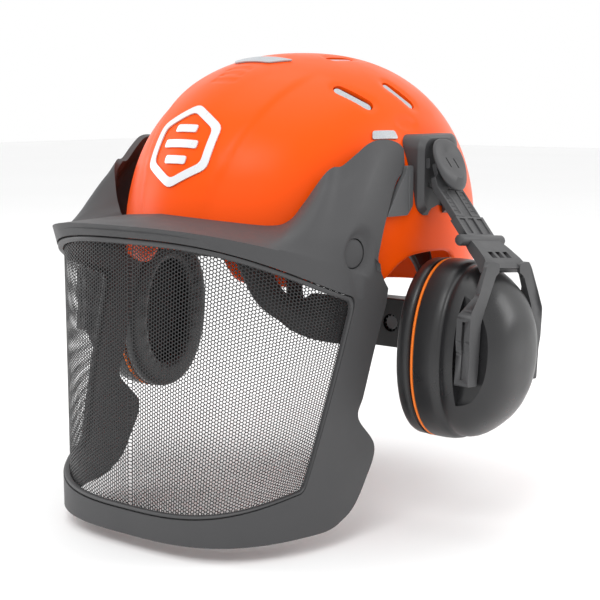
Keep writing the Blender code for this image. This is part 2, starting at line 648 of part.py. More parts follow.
def muff_yoke(side, word, parent):
    """Tongue in the arm's slot, lower rails, cross bar, bridge and the two legs with their pins."""
    def bar(name, points_faces):
        points, faces = points_faces
        return body(name, mirrored(points, side), faces, DARK, parent)
    item = bar(f"muff_yoke_{word}", leaning_bar(0.0225, 0.0390, 0.0155, -0.0042, 0.0003))
    parts = [leaning_bar(0.0018, 0.0300, 0.0039, -0.0036, -0.0004)]
    cross, cross_faces = disc(0.0034, 0.0500, 16)
    parts.append((along(cross, lean(0.0387, -0.0018, -0.0250), (0, 1, 0)), cross_faces))
    loops = [[lean(0.0370, out, y) for y, out in ((-0.0155, -0.0040), (0.0155, -0.0040), (0.0155, 0.0),
                                                  (-0.0155, 0.0))]]
    for x, z, half in ((0.0385, -0.0490, 0.0180), (0.0452, -0.0545, 0.0205), (0.0500, -0.0600, 0.0235)):
        loops.append([Vector((x - 0.0030, -half, z - 0.0022)), Vector((x - 0.0030, half, z - 0.0022)),
                      Vector((x + 0.0022, half, z + 0.0010)), Vector((x + 0.0022, -half, z + 0.0010))])
    parts.append(loft(loops))
    route = ((0.0496, 0.0170, 0.0225, -0.0585), (0.0520, 0.0275, 0.0335, -0.0740),
             (0.0510, 0.0300, 0.0410, -0.0850), (0.0490, 0.0300, 0.0420, -0.0880),
             (0.0490, 0.0300, 0.0420, -0.1270))
    for way in (-1, 1):
        loops = []
        for k, (x, near, far, z) in enumerate(route):
            deep = 0.0022 if k < 2 else 0.0045
            loops.append([Vector((x - deep, way * near, z)), Vector((x - deep, way * far, z)),
                          Vector((x + deep, way * far, z)), Vector((x + deep, way * near, z))])
        parts.append(loft(loops))
        pin, sides = disc(PIN_RADIUS, 0.0090, 20)
        parts.append((along(pin, TILT_PIVOT + Vector((0, way * 0.0231, 0)), (0, way, 0)), sides))
    for k, part in enumerate(parts):
        combine(item, bar(f"yoke_part_{k}_{word}", part), "UNION")


def muff_cup(side, word, parent):
    local = Vector((0, 0, 0)) - TILT_PIVOT

    def placed(points):
        return [Vector(((p.x + local.x) * side, p.y, p.z + local.z)) for p in points]
    profile = ((0.0005, 1.00, 1.00), (0.0155, 1.025, 1.00), (0.0235, 1.00, 0.955), (0.0315, 0.965, 0.865),
               (0.0395, 0.86, 0.74), (0.0455, 0.70, 0.57), (0.0500, 0.45, 0.35))
    loops = [oval(CUP_HALF[0] * ky, CUP_HALF[1] * kz, CUP_FACE + 0.0010 + x, 38) for x, ky, kz in profile]
    points, faces = loft(loops)
    item = body(f"cup_{word}", placed(points), faces, DARK, parent)
    cavity, cavity_faces = loft([oval(half_y, half_z, x) for half_y, half_z, x in
                                 ((0.0340, 0.0495, CUP_FACE - 0.002), (0.0330, 0.0480, 0.0300),
                                  (0.0230, 0.0430, 0.0375), (0.0205, 0.0340, 0.0500))])
    combine(item, body(f"cup_cavity_{word}", placed(cavity), cavity_faces, DARK, parent))
    for way in (-1, 1):
        pocket = rounded(0.0265, 0.060, -0.1430, -0.0700, 0.004)
        pocket, pocket_faces = extrude([(way * y, z) for y, z in pocket], 0.0408, 0.0900)
        combine(item, body(f"cup_pocket_{way}_{word}", placed(pocket), pocket_faces, DARK, parent))
        bar, sides = disc(PIN_RADIUS + GAP, 0.0100, 20)
        bar = along(bar, TILT_PIVOT + Vector((0, way * 0.0225, 0)), (0, way, 0))
        combine(item, body(f"pin_hole_{way}_{word}", placed(bar), sides, DARK, parent))
    soft = [oval(CUP_HALF[0] - a, CUP_HALF[1] - a, x) for a, x in
            ((0.0, 0.0115), (0.0, 0.0040), (0.0035, 0.0004), (0.0140, 0.0004), (0.0175, 0.0040),
             (0.0175, 0.0115))]
    points, faces = ring(soft)
    body(f"cushion_{word}", placed(points), faces, CUSHION, parent)
    band = [oval(CUP_HALF[0] - a, CUP_HALF[1] - a, x) for a, x in
            ((-0.0004, 0.0118), (-0.0004, CUP_FACE + 0.0012), (0.010, CUP_FACE + 0.0012), (0.010, 0.0118))]
    points, faces = ring(band)
    body(f"cup_ring_{word}", placed(points), faces, RING, parent)
    pad, pad_faces = loft([oval(0.030, 0.0455, x) for x in (0.0170, 0.0270)])
    body(f"cup_foam_{word}", placed(pad), pad_faces, FOAM, parent)


def muff(side, word):
    swing = empty(f"muff_swing_axis_{word}", (side * HUB.x, HUB.y, HUB.z), None, MUFF_ROLL)
    muff_bracket(side, word)
    muff_hub(side, word, swing)
    hub_cover(side, word, swing)
    muff_arm(side, word, swing)
    muff_yoke(side, word, swing)
    tilt = empty(f"cup_tilt_axis_{word}", (side * TILT_PIVOT.x, 0.0, TILT_PIVOT.z), swing)
    muff_cup(side, word, tilt)


# ---------------------------------------------------------------- harness
def band_point(turn, grow, share):
    """Point of the headband: turn round the head, share of its half height from -1 to 1."""
    y = BAND_CENTRE_Y + (BAND_HALF[1] + grow) * sin(turn)
    middle = BAND_CENTRE_Y + BAND_HALF[1] * sin(turn)
    up = from_table(BAND_HALF_HEIGHT, middle) * share
    return Vector(((BAND_HALF[0] + grow) * cos(turn), y, from_table(BAND_RISE, middle) + up))


def band_strip(name, start, end, near, far, share, look, count):
    section = ((near, -share), (far, -share), (far, share), (near, share))
    loops = [[band_point(radians(turn), grow, up) for grow, up in section] for turn in spread(start, end, count)]
    body(name, *loft(loops), look)


def strap_centre(strap, rise):
    """Middle of a crown strap at this rise, with the strap's heading there."""
    name, first, last, lift = strap[:4]
    blend = min(1.0, max(0.0, (rise - 60.0) / 60.0))
    turn = radians(first + (last - first) * blend)
    heading = Vector((cos(turn), sin(turn), 0))
    centre = on_dome(heading * cos(radians(rise)) + Vector((0, 0, sin(radians(rise)))), -0.0085)
    centre.z *= lift / (SHELL_HALF.z - 0.0085)
    return centre, heading


def hanger(top, word):
    """A flat clip that holds the headband to the foot of a crown strap."""
    heading = Vector((top.x, top.y, 0)).normalized()
    foot = heading * ((heading.x / BAND_HALF[0]) ** 2 + (heading.y / BAND_HALF[1]) ** 2) ** -0.5
    out = Vector((foot.x / BAND_HALF[0] ** 2, foot.y / BAND_HALF[1] ** 2, 0)).normalized()
    across = Vector((-out.y, out.x, 0)) * 0.0068
    foot += out * 0.0031 + Vector((0, BAND_CENTRE_Y, 0))
    foot.z = from_table(BAND_RISE, foot.y) + (0.009 if foot.y > 0.03 else -0.010)
    out = out * 0.0013
    middle = top.lerp(foot, 0.35) - out * 0.8
    loops = [[p - across - out, p + across - out, p + across + out, p - across + out]
             for p in (top, middle, foot)]
    body(f"strap_hanger_{word}", *loft(loops), BLACK)


def harness():
    band_strip("headband", -242.0, 62.0, -0.001, 0.001, 1.0, BLACK, 61)
    band_strip("sweatband", -150.0, -30.0, -0.0045, -0.0013, 0.93, FOAM, 25)
    for strap in STRAPS:
        name, first, last, lift, low, high = strap
        loops = []
        for rise in spread(low, high, 25):
            centre, heading = strap_centre(strap, rise)
            side = Vector((-heading.y, heading.x, 0)) * 0.009
            normal = Vector((centre.x / 0.096 ** 2, centre.y / 0.124 ** 2, centre.z / 0.085 ** 2))
            normal = normal.normalized() * 0.0006
            loops.append([centre - side - normal, centre + side - normal, centre + side + normal,
                          centre - side + normal])
        body(f"crown_strap_{name}", *loft(loops), WEBBING)
        for rise in (low, high):
            top = strap_centre(strap, rise)[0] - Vector((0, 0, 0.0037))
            where = "front_" if top.y < -0.03 else "rear_" if top.y > 0.03 else "side_"
            hanger(top, where + ("left" if top.x > 0 else "right"))
    pad = [[Vector((r * cos(2 * pi * i / 32), 0.004 + r * sin(2 * pi * i / 32), z)) for i in range(32)]
           for r, z in ((0.026, 0.0745), (0.028, 0.0760), (0.026, 0.0782))]
    body("crown_pad", *loft(pad), FOAM)


def arc_strip(name, start, end, near, far, low, high, look, count=17):
    section = ((near, low), (far, low), (far, high), (near, high))
    axis = empty(f"{name}_axis", (0, RACK_CENTRE_Y, 0))
    loops = [[Vector((r * sin(radians(a)), r * cos(radians(a)), z)) for r, z in section]
             for a in spread(start, end, count)]
    return body(name, *loft(loops), look, axis)


def adjuster():
    arc_strip("rack_left", -12, 44, RACK_RADIUS - 0.0008, RACK_RADIUS + 0.0008, KNOB_Z + 0.0066, KNOB_Z + 0.0120, BLACK)
    arc_strip("rack_right", -44, 12, RACK_RADIUS - 0.0008, RACK_RADIUS + 0.0008, KNOB_Z - 0.0120, KNOB_Z - 0.0066, BLACK)
    outline = rounded(-0.027, 0.027, KNOB_Z - 0.018, KNOB_Z + 0.018, 0.006)
    points, faces = loft([[Vector((x, y, z)) for x, z in outline] for y in (0.1010, 0.1180)])
    item = body("adjuster_housing", points, faces, BLACK)
    loops = [[Vector((r * sin(radians(a)), RACK_CENTRE_Y + r * cos(radians(a)), KNOB_Z + z)) for r, z in
              ((RACK_RADIUS - 0.0016, -0.0126), (RACK_RADIUS + 0.0016, -0.0126),
               (RACK_RADIUS + 0.0016, 0.0126), (RACK_RADIUS - 0.0016, 0.0126))] for a in spread(-40, 40, 21)]
    combine(item, body("rack_slot_cutter", *loft(loops), BLACK))
    for name, radius, start, length in (("pinion_cutter", PINION_RADIUS + 0.0005, 0.1000, 0.0125),
                                        ("shaft_cutter", 0.0033, 0.1120, 0.0100)):
        bar, sides = disc(radius, length)
        combine(item, body(name, along(bar, (0, start, KNOB_Z), (0, 1, 0)), sides, BLACK))
    axis = empty("adjuster_axis", (0, 0.120, KNOB_Z))
    wheel = []
    for y, scale in ((-0.0170, 1.0), (-0.0090, 1.0), (-0.0088, 0.0), (-0.0005, 0.0)):
        loop = []
        for i in range(36):
            tooth = PINION_RADIUS if i % 3 == 0 else 0.0048
            radius = tooth if scale else 0.0030
            loop.append(Vector((radius * cos(2 * pi * i / 36), y, radius * sin(2 * pi * i / 36))))
        wheel.append(loop)
    body("adjuster_pinion", *loft(wheel), LIGHT_GREY, axis)
    grip = []
    for y, size in ((-0.0001, 0.0160), (0.0015, 0.0172), (0.0085, 0.0172), (0.0105, 0.0155)):
        grip.append([Vector(((size - (0.0008 if i % 4 == 0 else 0)) * cos(2 * pi * i / 48), y,
                             (size - (0.0008 if i % 4 == 0 else 0)) * sin(2 * pi * i / 48))) for i in range(48)])
    body("adjuster_knob", *loft(grip), BLACK, axis)


def main():
    clear_scene()
    shell_item = shell()
    vents(shell_item)
    badges()
    visor_frame()
    visor_mesh()
    visor_trim()
    visor_fittings()
    for side, word in ((1, "left"), (-1, "right")):
        muff(side, word)
    harness()
    adjuster()


main()
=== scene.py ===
"""Looks of the forestry helmet, built as an add-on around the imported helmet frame.

Metres, +Z up, the wearer looks along -Y and the wearer's left is +X.
"""
from math import asin, cos, hypot, pi, radians, sin

import bmesh
import bpy
from mathutils import Matrix, Vector


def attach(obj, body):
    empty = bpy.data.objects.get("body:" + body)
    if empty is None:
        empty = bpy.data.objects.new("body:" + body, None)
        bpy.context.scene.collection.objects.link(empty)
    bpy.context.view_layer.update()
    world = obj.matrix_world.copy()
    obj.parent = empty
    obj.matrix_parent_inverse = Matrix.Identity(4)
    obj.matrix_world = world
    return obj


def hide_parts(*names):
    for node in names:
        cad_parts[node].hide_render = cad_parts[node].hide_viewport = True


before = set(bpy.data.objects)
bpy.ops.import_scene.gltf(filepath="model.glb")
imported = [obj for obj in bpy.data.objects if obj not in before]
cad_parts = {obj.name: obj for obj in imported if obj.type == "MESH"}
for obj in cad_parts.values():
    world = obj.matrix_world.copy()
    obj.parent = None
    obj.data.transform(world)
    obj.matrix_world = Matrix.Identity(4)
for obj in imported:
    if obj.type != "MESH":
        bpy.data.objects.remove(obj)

bl_info = {
    "name": "Forestry helmet",
    "version": (1, 0, 0),
    "blender": (4, 5, 0),
    "location": "3D View > Sidebar > Helmet",
    "description": "Builds the helmet's shell, visor, ear muffs, harness and studio piece by piece",
    "category": "Object",
}

# Shell
SHELL_HALF = Vector((0.1048, 0.1330, 0.1159))
SHELL_WALL = 0.0030
PLAN_POWER = 1.9
PROFILE_POWER = 2.24
RIM_PROFILE = ((-0.1330, -0.0005), (-0.1190, -0.0030), (-0.1030, -0.0090), (-0.0860, -0.0145),
               (-0.0750, -0.0180), (-0.0600, -0.0215), (-0.0470, -0.0200), (-0.0360, -0.0115),
               (-0.0240, -0.0066), (0.0080, -0.0064), (0.0190, -0.0110), (0.0300, -0.0270),
               (0.0400, -0.0420), (0.0520, -0.0490), (0.0700, -0.0520), (0.0950, -0.0515),
               (0.1330, -0.0445))
GROOVES_Y = (-0.0790, -0.0717, -0.0643)
GROOVE_REACH = 0.0080
DIMPLE = (-0.009, 0.072)
PANEL_FOOT = 0.0325
FILM_UNDER, FILM_TOP = 0.0003, 0.0011
RECESS_RADIUS = 0.0255

# Visor
HINGE = Vector((0.0, -0.050, 0.044))
RECESS_FLOOR = 0.0915
VISOR_WALL = 0.0036
WINDOW_SHARE = 0.80
WINDOW_HALF = 0.150
WINDOW_HEIGHT = 0.140
WINDOW_CORNER = 0.009
MESH_SHEET = 0.0002
BUTTON_RADIUS = 0.0086
BUTTON_CENTRE = Vector((0.1016, -0.0845, -0.0010))
BUTTON_AXIS = Vector((0.985, -0.170, 0.0)).normalized()

# Ear muffs
HUB = Vector((0.1085, -0.0050, 0.0470))
MUFF_ROLL = radians(-5.3)
BRACKET_FACE = 0.1070
ARM_LEAN = radians(40.3)
ARM_KNEE = Vector((0.0080, 0.0, -0.0135))
CUP_FACE = 0.0135
CUP_DROP = -0.1100
CUP_HALF = (0.0385, 0.0540)
CUP_POWER = 2.15
TILT_PIVOT = Vector((0.0490, 0.0, -0.1065))
PIN_RADIUS = 0.0026

# Headband and adjuster
BAND_HALF = (0.0790, 0.0990)
BAND_CENTRE_Y = 0.005
BAND_RISE = ((-0.0940, 0.0060), (-0.0100, 0.0060), (0.0060, 0.0035), (0.0180, -0.0060), (0.0360, -0.0345),
             (0.0480, -0.0515), (0.0570, -0.0628), (0.0620, -0.0680), (0.0700, -0.0728), (0.0780, -0.0728),
             (0.0920, -0.0755), (0.1050, -0.0755))
BAND_HALF_HEIGHT = ((-0.0940, 0.0150), (0.0000, 0.0150), (0.0250, 0.0210), (0.0360, 0.0225), (0.0480, 0.0175),
                    (0.0570, 0.0130), (0.0700, 0.0132), (0.0780, 0.0170), (0.0920, 0.0180), (0.1050, 0.0170))
STRAPS = (("left_diagonal", -60.6, -45.8, 0.0840, 8.0, 178.0),
          ("right_diagonal", 45.8, 60.6, 0.0858, 2.0, 172.0),
          ("cross", 4.0, -4.0, 0.0876, 8.0, 172.0))
RACK_CENTRE_Y = 0.041
RACK_RADIUS = 0.0670
KNOB_Z = -0.075
KNOB_BACK_Y = 0.120

# Studio
FLOOR_Z = -0.1735
CAMERA_PLACE = Vector((0.56247, -0.71618, 0.08666))
CAMERA_TARGET = Vector((0.0, -0.0053, -0.0460))
CAMERA_LENS = 82.6

SIDES = ((1, "left"), (-1, "right"))


# ---------------------------------------------------------------- sizes and colours
def colour_property(name, description, default):
    return bpy.props.FloatVectorProperty(name=name, description=description, default=default, min=0.0,
                                         max=1.0, size=3, subtype="COLOR")


def length_property(name, description, default):
    return bpy.props.FloatProperty(name=name, description=description, default=default, min=0.0,
                                   unit="LENGTH", subtype="DISTANCE")


class HelmetSettings(bpy.types.PropertyGroup):
    """Sizes and colours that the pieces are made with."""
    shell_colour: colour_property("Shell", "Colour of the moulded shell", (0.90, 0.083, 0.0015))
    visor_colour: colour_property("Visor", "Colour of the visor frame", (0.060, 0.060, 0.062))
    plate_colour: colour_property("Side plate", "Colour of the visor's side plates", (0.098, 0.100, 0.103))
    muff_colour: colour_property("Muffs", "Colour of the muffs' arms and mounts", (0.046, 0.046, 0.048))
    cup_colour: colour_property("Ear cups", "Colour of the ear cups", (0.014, 0.014, 0.015))
    black_colour: colour_property("Harness", "Colour of the headband and its clips", (0.0055, 0.0055, 0.006))
    ring_colour: colour_property("Cup ring", "Colour of the ring behind the cushion", (0.95, 0.20, 0.010))
    silver_colour: colour_property("Reflectors", "Colour of the reflecting film", (0.40, 0.42, 0.44))
    mesh_pitch: length_property("Mesh pitch", "Distance between the holes of the visor mesh", 0.0022)
    mesh_wire: length_property("Mesh wire", "Width of the metal between two holes", 0.00058)
    edge_radius: length_property("Edge radius", "Rounding of the moulded edges", 0.0006)
    strap_width: length_property("Strap width", "Width of a crown strap", 0.018)


def settings():
    """The sizes and colours set in the panel."""
    return bpy.context.scene.helmet_settings


# ---------------------------------------------------------------- materials
class Surface:
    """A material built node by node."""

    def __init__(self, name, colour, roughness, metallic=0.0):
        self.material = bpy.data.materials.new(name)
        self.material.use_nodes = True
        self.tree = self.material.node_tree
        self.shader = self.tree.nodes["Principled BSDF"]
        self.shader.inputs["Base Color"].default_value = (*colour, 1.0)
        self.shader.inputs["Roughness"].default_value = roughness
        self.shader.inputs["Metallic"].default_value = metallic
        self.colour = colour
        self.roughness = roughness
        self.place = self.tree.nodes.new("ShaderNodeTexCoord").outputs["Object"]
        self.bump = None

    def noise(self, scale, detail=4.0):
        node = self.tree.nodes.new("ShaderNodeTexNoise")
        node.inputs["Scale"].default_value = scale
        node.inputs["Detail"].default_value = detail
        node.inputs["Roughness"].default_value = 0.55
        self.tree.links.new(self.place, node.inputs["Vector"])
        return node.outputs["Fac"]

    def cells(self, scale, feature="F1"):
        node = self.tree.nodes.new("ShaderNodeTexVoronoi")
        node.feature = feature
        node.inputs["Scale"].default_value = scale
        self.tree.links.new(self.place, node.inputs["Vector"])
        return node.outputs["Distance"]

    def bands(self, scale, direction, distortion=0.0):
        node = self.tree.nodes.new("ShaderNodeTexWave")
        node.bands_direction = direction
        node.inputs["Scale"].default_value = scale
        node.inputs["Distortion"].default_value = distortion
        self.tree.links.new(self.place, node.inputs["Vector"])
        return node.outputs["Fac"]

    def spread(self, source, low, high):
        """The middle part of the source's values, spread from low to high."""
        node = self.tree.nodes.new("ShaderNodeMapRange")
        node.inputs["From Min"].default_value = 0.35
        node.inputs["From Max"].default_value = 0.65
        node.inputs["To Min"].default_value = low
        node.inputs["To Max"].default_value = high
        self.tree.links.new(source, node.inputs["Value"])
        return node.outputs["Result"]

    def rough_variation(self, source, amount):
        low, high = self.roughness - amount, self.roughness + amount
        self.tree.links.new(self.spread(source, low, high), self.shader.inputs["Roughness"])

    def colour_variation(self, source, amount):
        mix = self.tree.nodes.new("ShaderNodeMix")
        mix.data_type = "RGBA"
        dark = tuple(c * (1 - amount) for c in self.colour)
        light = tuple(min(1.0, c * (1 + amount)) for c in self.colour)
        mix.inputs["A"].default_value = (*dark, 1.0)
        mix.inputs["B"].default_value = (*light, 1.0)
        self.tree.links.new(self.spread(source, 0.0, 1.0), mix.inputs["Factor"])
        self.tree.links.new(mix.outputs["Result"], self.shader.inputs["Base Color"])

    def relief(self, source, distance, strength=1.0):
        node = self.tree.nodes.new("ShaderNodeBump")
        node.inputs["Distance"].default_value = distance
        node.inputs["Strength"].default_value = strength
        self.tree.links.new(source, node.inputs["Height"])
        if self.bump:
            self.tree.links.new(self.bump, node.inputs["Normal"])
        self.bump = node.outputs["Normal"]
        self.tree.links.new(self.bump, self.shader.inputs["Normal"])

    def set(self, **values):
        for name, value in values.items():
            self.shader.inputs[name.replace("_", " ").title().replace("Ior", "IOR")].default_value = value


def look(kind):
    """The material of a kind of surface, made the first time it is asked for."""
    name = f"helmet_{kind}"
    if name in bpy.data.materials:
        return bpy.data.materials[name]
    values = settings()
    if kind == "shell":
        made = Surface(name, tuple(values.shell_colour), 0.34)
        made.set(specular_ior_level=0.14)
        made.rough_variation(made.noise(28.0, 3.0), 0.05)
        made.colour_variation(made.noise(6.0, 2.0), 0.02)
        made.relief(made.noise(900.0, 2.0), 0.00002, 0.35)
        made.relief(made.noise(45.0, 1.0), 0.00010, 0.25)
    elif kind in ("visor", "plate"):
        colour = values.visor_colour if kind == "visor" else values.plate_colour
        made = Surface(name, tuple(colour), 0.52 if kind == "visor" else 0.34)
        made.set(specular_ior_level=0.30)
        made.rough_variation(made.noise(40.0, 4.0), 0.05)
        made.colour_variation(made.noise(14.0, 3.0), 0.035)
        made.relief(made.cells(1500.0), 0.00005, 0.45 if kind == "visor" else 0.12)
        made.relief(made.noise(70.0, 2.0), 0.00008, 0.25)
    elif kind in ("muff", "cup"):
        colour = values.muff_colour if kind == "muff" else values.cup_colour
        made = Surface(name, tuple(colour), 0.46 if kind == "muff" else 0.33)
        made.rough_variation(made.noise(35.0, 4.0), 0.06)
        made.colour_variation(made.noise(12.0, 3.0), 0.05)
        made.relief(made.cells(1700.0), 0.00004, 0.35)
        made.relief(made.noise(60.0, 2.0), 0.00008, 0.25)
    elif kind == "black":
        made = Surface(name, tuple(values.black_colour), 0.42)
        made.rough_variation(made.noise(50.0, 4.0), 0.07)
        made.relief(made.cells(1600.0), 0.00004, 0.3)
    elif kind == "ring":
        made = Surface(name, tuple(values.ring_colour), 0.45)
        made.rough_variation(made.noise(60.0, 3.0), 0.06)
        made.relief(made.noise(500.0, 2.0), 0.00003, 0.3)
    elif kind == "cushion":
        made = Surface(name, (0.012, 0.012, 0.013), 0.36)
        made.set(coat_weight=0.15, coat_roughness=0.3)
        made.rough_variation(made.noise(30.0, 5.0), 0.08)
        made.relief(made.noise(55.0, 3.0), 0.0008, 0.30)
        made.relief(made.cells(900.0, "SMOOTH_F1"), 0.00010, 0.35)
    elif kind == "mesh":
        made = Surface(name, (0.022, 0.022, 0.023), 0.38, 0.35)
        made.rough_variation(made.noise(120.0, 3.0), 0.08)
        made.relief(made.noise(1500.0, 2.0), 0.00003, 0.4)
    elif kind == "foam":
        made = Surface(name, (0.020, 0.020, 0.021), 0.95)
        made.colour_variation(made.noise(300.0, 3.0), 0.35)
        made.relief(made.cells(650.0), 0.0006, 0.8)
    elif kind == "webbing":
        made = Surface(name, (0.014, 0.014, 0.015), 0.85)
        made.relief(made.bands(260.0, "DIAGONAL", 0.4), 0.0004, 0.7)
        made.relief(made.noise(1200.0, 2.0), 0.0001, 0.4)
        made.set(sheen_weight=0.3, sheen_roughness=0.5)
    elif kind == "silver":
        made = Surface(name, tuple(values.silver_colour), 0.42, 0.25)
        made.rough_variation(made.noise(90.0, 3.0), 0.06)
        made.relief(made.cells(1300.0), 0.00004, 0.4)
        made.colour_variation(made.cells(1300.0), 0.08)
    elif kind == "emblem":
        made = Surface(name, (0.70, 0.72, 0.74), 0.32, 0.30)
        made.rough_variation(made.noise(90.0, 3.0), 0.05)
        made.relief(made.noise(700.0, 2.0), 0.00003, 0.3)
    elif kind == "floor":
        made = Surface(name, (0.93, 0.93, 0.93), 0.65)
        made.colour_variation(made.noise(1.5, 3.0), 0.006)
        made.rough_variation(made.noise(4.0, 3.0), 0.05)
    else:
        raise ValueError(f"no surface is called {kind}")
    return made.material


# ---------------------------------------------------------------- small tools
def solid(name, points, faces, kind):
    """A new object with outward faces and the surface of its kind."""
    mesh = bpy.data.meshes.new(name)
    mesh.from_pydata([tuple(p) for p in points], [], faces)
    work = bmesh.new()
    work.from_mesh(mesh)
    bmesh.ops.recalc_face_normals(work, faces=work.faces)
    work.to_mesh(mesh)
    work.free()
    mesh.materials.append(look(kind))
    item = bpy.data.objects.new(name, mesh)
    bpy.context.collection.objects.link(item)
    return item


def round_edges(item, width=None, segments=3, angle=32):
    change = item.modifiers.new("rounding", "BEVEL")
    change.width = settings().edge_radius if width is None else width
    change.segments = segments
    change.limit_method = "ANGLE"
    change.angle_limit = radians(angle)
    change.use_clamp_overlap = True
    change.harden_normals = False
    change.miter_outer = "MITER_ARC"


def combine(item, tool, operation="DIFFERENCE"):
    change = item.modifiers.new(tool.name, "BOOLEAN")
    change.operation = operation
    change.solver = "EXACT"
    change.object = tool


def settle(item, body, nodes=(), rounding=None, angle=32, tools=(), segments=3, sharp=32):
    """Applies what shapes the item, shades it smooth, and hands it to the frame."""
    for tool, operation in tools:
        combine(item, tool, operation)
    if rounding:
        round_edges(item, rounding, segments, angle)
    bpy.context.view_layer.update()
    seen = bpy.context.evaluated_depsgraph_get()
    mesh = bpy.data.meshes.new_from_object(item.evaluated_get(seen), depsgraph=seen)
    item.modifiers.clear()
    item.data = mesh
    if not mesh.polygons:
        raise RuntimeError(f"{item.name} came out empty")
    for face in mesh.polygons:
        face.material_index = 0
    mesh.shade_smooth()
    if rounding:
        weigh = item.modifiers.new("even shading", "WEIGHTED_NORMAL")
        weigh.keep_sharp = False
        weigh.weight = 60
    elif sharp:
        mesh.set_sharp_from_angle(angle=radians(sharp))
    for tool, operation in tools:
        bpy.data.objects.remove(tool, do_unlink=True)
    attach(item, body)
    if nodes:
        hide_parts(*nodes)
    return item


def loft(loops):
    """A closed body through equal loops of points, with flat ends."""
    count = len(loops[0])
    points = [p for loop in loops for p in loop]
    faces = [list(range(count))[::-1], [len(points) - count + i for i in range(count)]]
    for row in range(len(loops) - 1):
        for i in range(count):
            j = (i + 1) % count
            a = row * count
            faces.append((a + i, a + j, a + count + j, a + count + i))
    return points, faces


def ring(loops):
    """A closed tube through equal loops, the last joined to the first."""
    count = len(loops[0])
    points = [p for loop in loops for p in loop]
    faces = []
    for row in range(len(loops)):
        a = row * count
        b = ((row + 1) % len(loops)) * count
        for i in range(count):
            j = (i + 1) % count
            faces.append((a + i, a + j, b + j, b + i))
    return points, faces


def signed_power(value, power):
    """The power of a value, with its sign kept."""
    return abs(value) ** power * (1 if value >= 0 else -1)


def smooth_step(value):
    """A smooth rise from 0 to 1 as the value goes from 0 to 1."""
    value = min(1.0, max(0.0, value))
    return value * value * (3 - 2 * value)


def spread(low, high, count):
    """Evenly spaced values from low to high."""
    return [low + (high - low) * i / (count - 1) for i in range(count)]


def oval(half_y, half_z, x, count=96):
    """The cup's full oval at depth x."""
    loop = []
    for i in range(count):
        a = 2 * pi * i / count
        loop.append(Vector((x, half_y * signed_power(cos(a), 2 / CUP_POWER),
                            CUP_DROP + half_z * signed_power(sin(a), 2 / CUP_POWER))))
    return loop


def turned(profile, count=64):
    """A body turned about +Z from (radius, height) steps."""
    return loft([[Vector((r * cos(2 * pi * i / count), r * sin(2 * pi * i / count), z)) for i in range(count)]
                 for r, z in profile])


def disc(radius, depth, count=48):
    """A plain round bar from the origin up +Z."""
    return turned(((radius, 0.0), (radius, depth)), count)


def along(points, start, direction):
    """Points made along +Z, moved to start and turned to point in the direction."""
    turn = Vector((0, 0, 1)).rotation_difference(Vector(direction).normalized())
    return [turn @ p + Vector(start) for p in points]


def extrude(outline, low, high):
    """A (y, z) outline carried from x = low to high; each may be a function of (y, z)."""
    def level(value, y, z):
        return value(y, z) if callable(value) else value
    return loft([[Vector((level(x, y, z), y, z)) for y, z in outline] for x in (low, high)])


def box(x_low, x_high, y_low, y_high, z_low, z_high):
    """A plain block between these limits."""
    return extrude([(y_low, z_low), (y_high, z_low), (y_high, z_high), (y_low, z_high)], x_low, x_high)


def mirrored(points, side):
    """The points, on the other side of the helmet where side is -1."""
    return [Vector((p.x * side, p.y, p.z)) for p in points]


def rounded(y_low, y_high, z_low, z_high, radius, count=10):
    """A (y, z) rectangle with round corners."""
    corners = ((y_high - radius, z_high - radius, 0), (y_low + radius, z_high - radius, 90),
               (y_low + radius, z_low + radius, 180), (y_high - radius, z_low + radius, 270))
    return [(y + radius * cos(radians(start + 90 * i / count)),
             z + radius * sin(radians(start + 90 * i / count)))
            for y, z, start in corners for i in range(count + 1)]


def oblong(length, width, count=14):
    """A slot outline with round ends."""
    half, r = length / 2 - width / 2, width / 2
    return [(x + r * cos(a + pi * i / count), r * sin(a + pi * i / count))
            for x, a in ((half, -pi / 2), (-half, pi / 2)) for i in range(count + 1)]


def cornered(corners, radius, steps=3):
    """The closed (y, z) outline with each corner cut by a round of about that radius."""
    out = []
    n = len(corners)
    for i in range(n):
        before, here, after = (Vector(corners[(i + k) % n]) for k in (-1, 0, 1))
        a, b = before - here, after - here
        reach = min(radius, a.length * 0.45, b.length * 0.45)
        start, end = here + a.normalized() * reach, here + b.normalized() * reach
        for k in range(steps + 1):
            t = k / steps
            q = start * (1 - t) ** 2 + here * 2 * t * (1 - t) + end * t ** 2
            out.append((q.x, q.y))
    return out


def smooth_curve(controls, share):
    """The point of a smooth curve through the (key, point) controls at this share."""
    keys = [control[0] for control in controls]
    i = max(k for k in range(len(keys) - 1) if keys[k] <= share or k == 0)
    t = (share - keys[i]) / (keys[i + 1] - keys[i])
    p = [Vector(controls[min(max(k, 0), len(keys) - 1)][1]) for k in (i - 1, i, i + 1, i + 2)]
    return 0.5 * (2 * p[1] + (p[2] - p[0]) * t + (2 * p[0] - 5 * p[1] + 4 * p[2] - p[3]) * t ** 2
                  + (3 * p[1] - p[0] - 3 * p[2] + p[3]) * t ** 3)


# ---------------------------------------------------------------- shell
def from_table(table, key):
    """Value at key of a table of (key, value) pairs, smooth from one to the next."""
    key = min(max(key, table[0][0]), table[-1][0])
    i = max(k for k in range(len(table) - 1) if table[k][0] <= key)
    width = table[i + 1][0] - table[i][0]
    t = (key - table[i][0]) / width
    slopes = []
    for k in (i, i + 1):
        low, high = max(k - 1, 0), min(k + 1, len(table) - 1)
        slopes.append((table[high][1] - table[low][1]) / (table[high][0] - table[low][0]))
    return (table[i][1] * (2 * t ** 3 - 3 * t ** 2 + 1) + table[i + 1][1] * (3 * t ** 2 - 2 * t ** 3)
            + width * (slopes[0] * (t ** 3 - 2 * t ** 2 + t) + slopes[1] * (t ** 3 - t ** 2)))


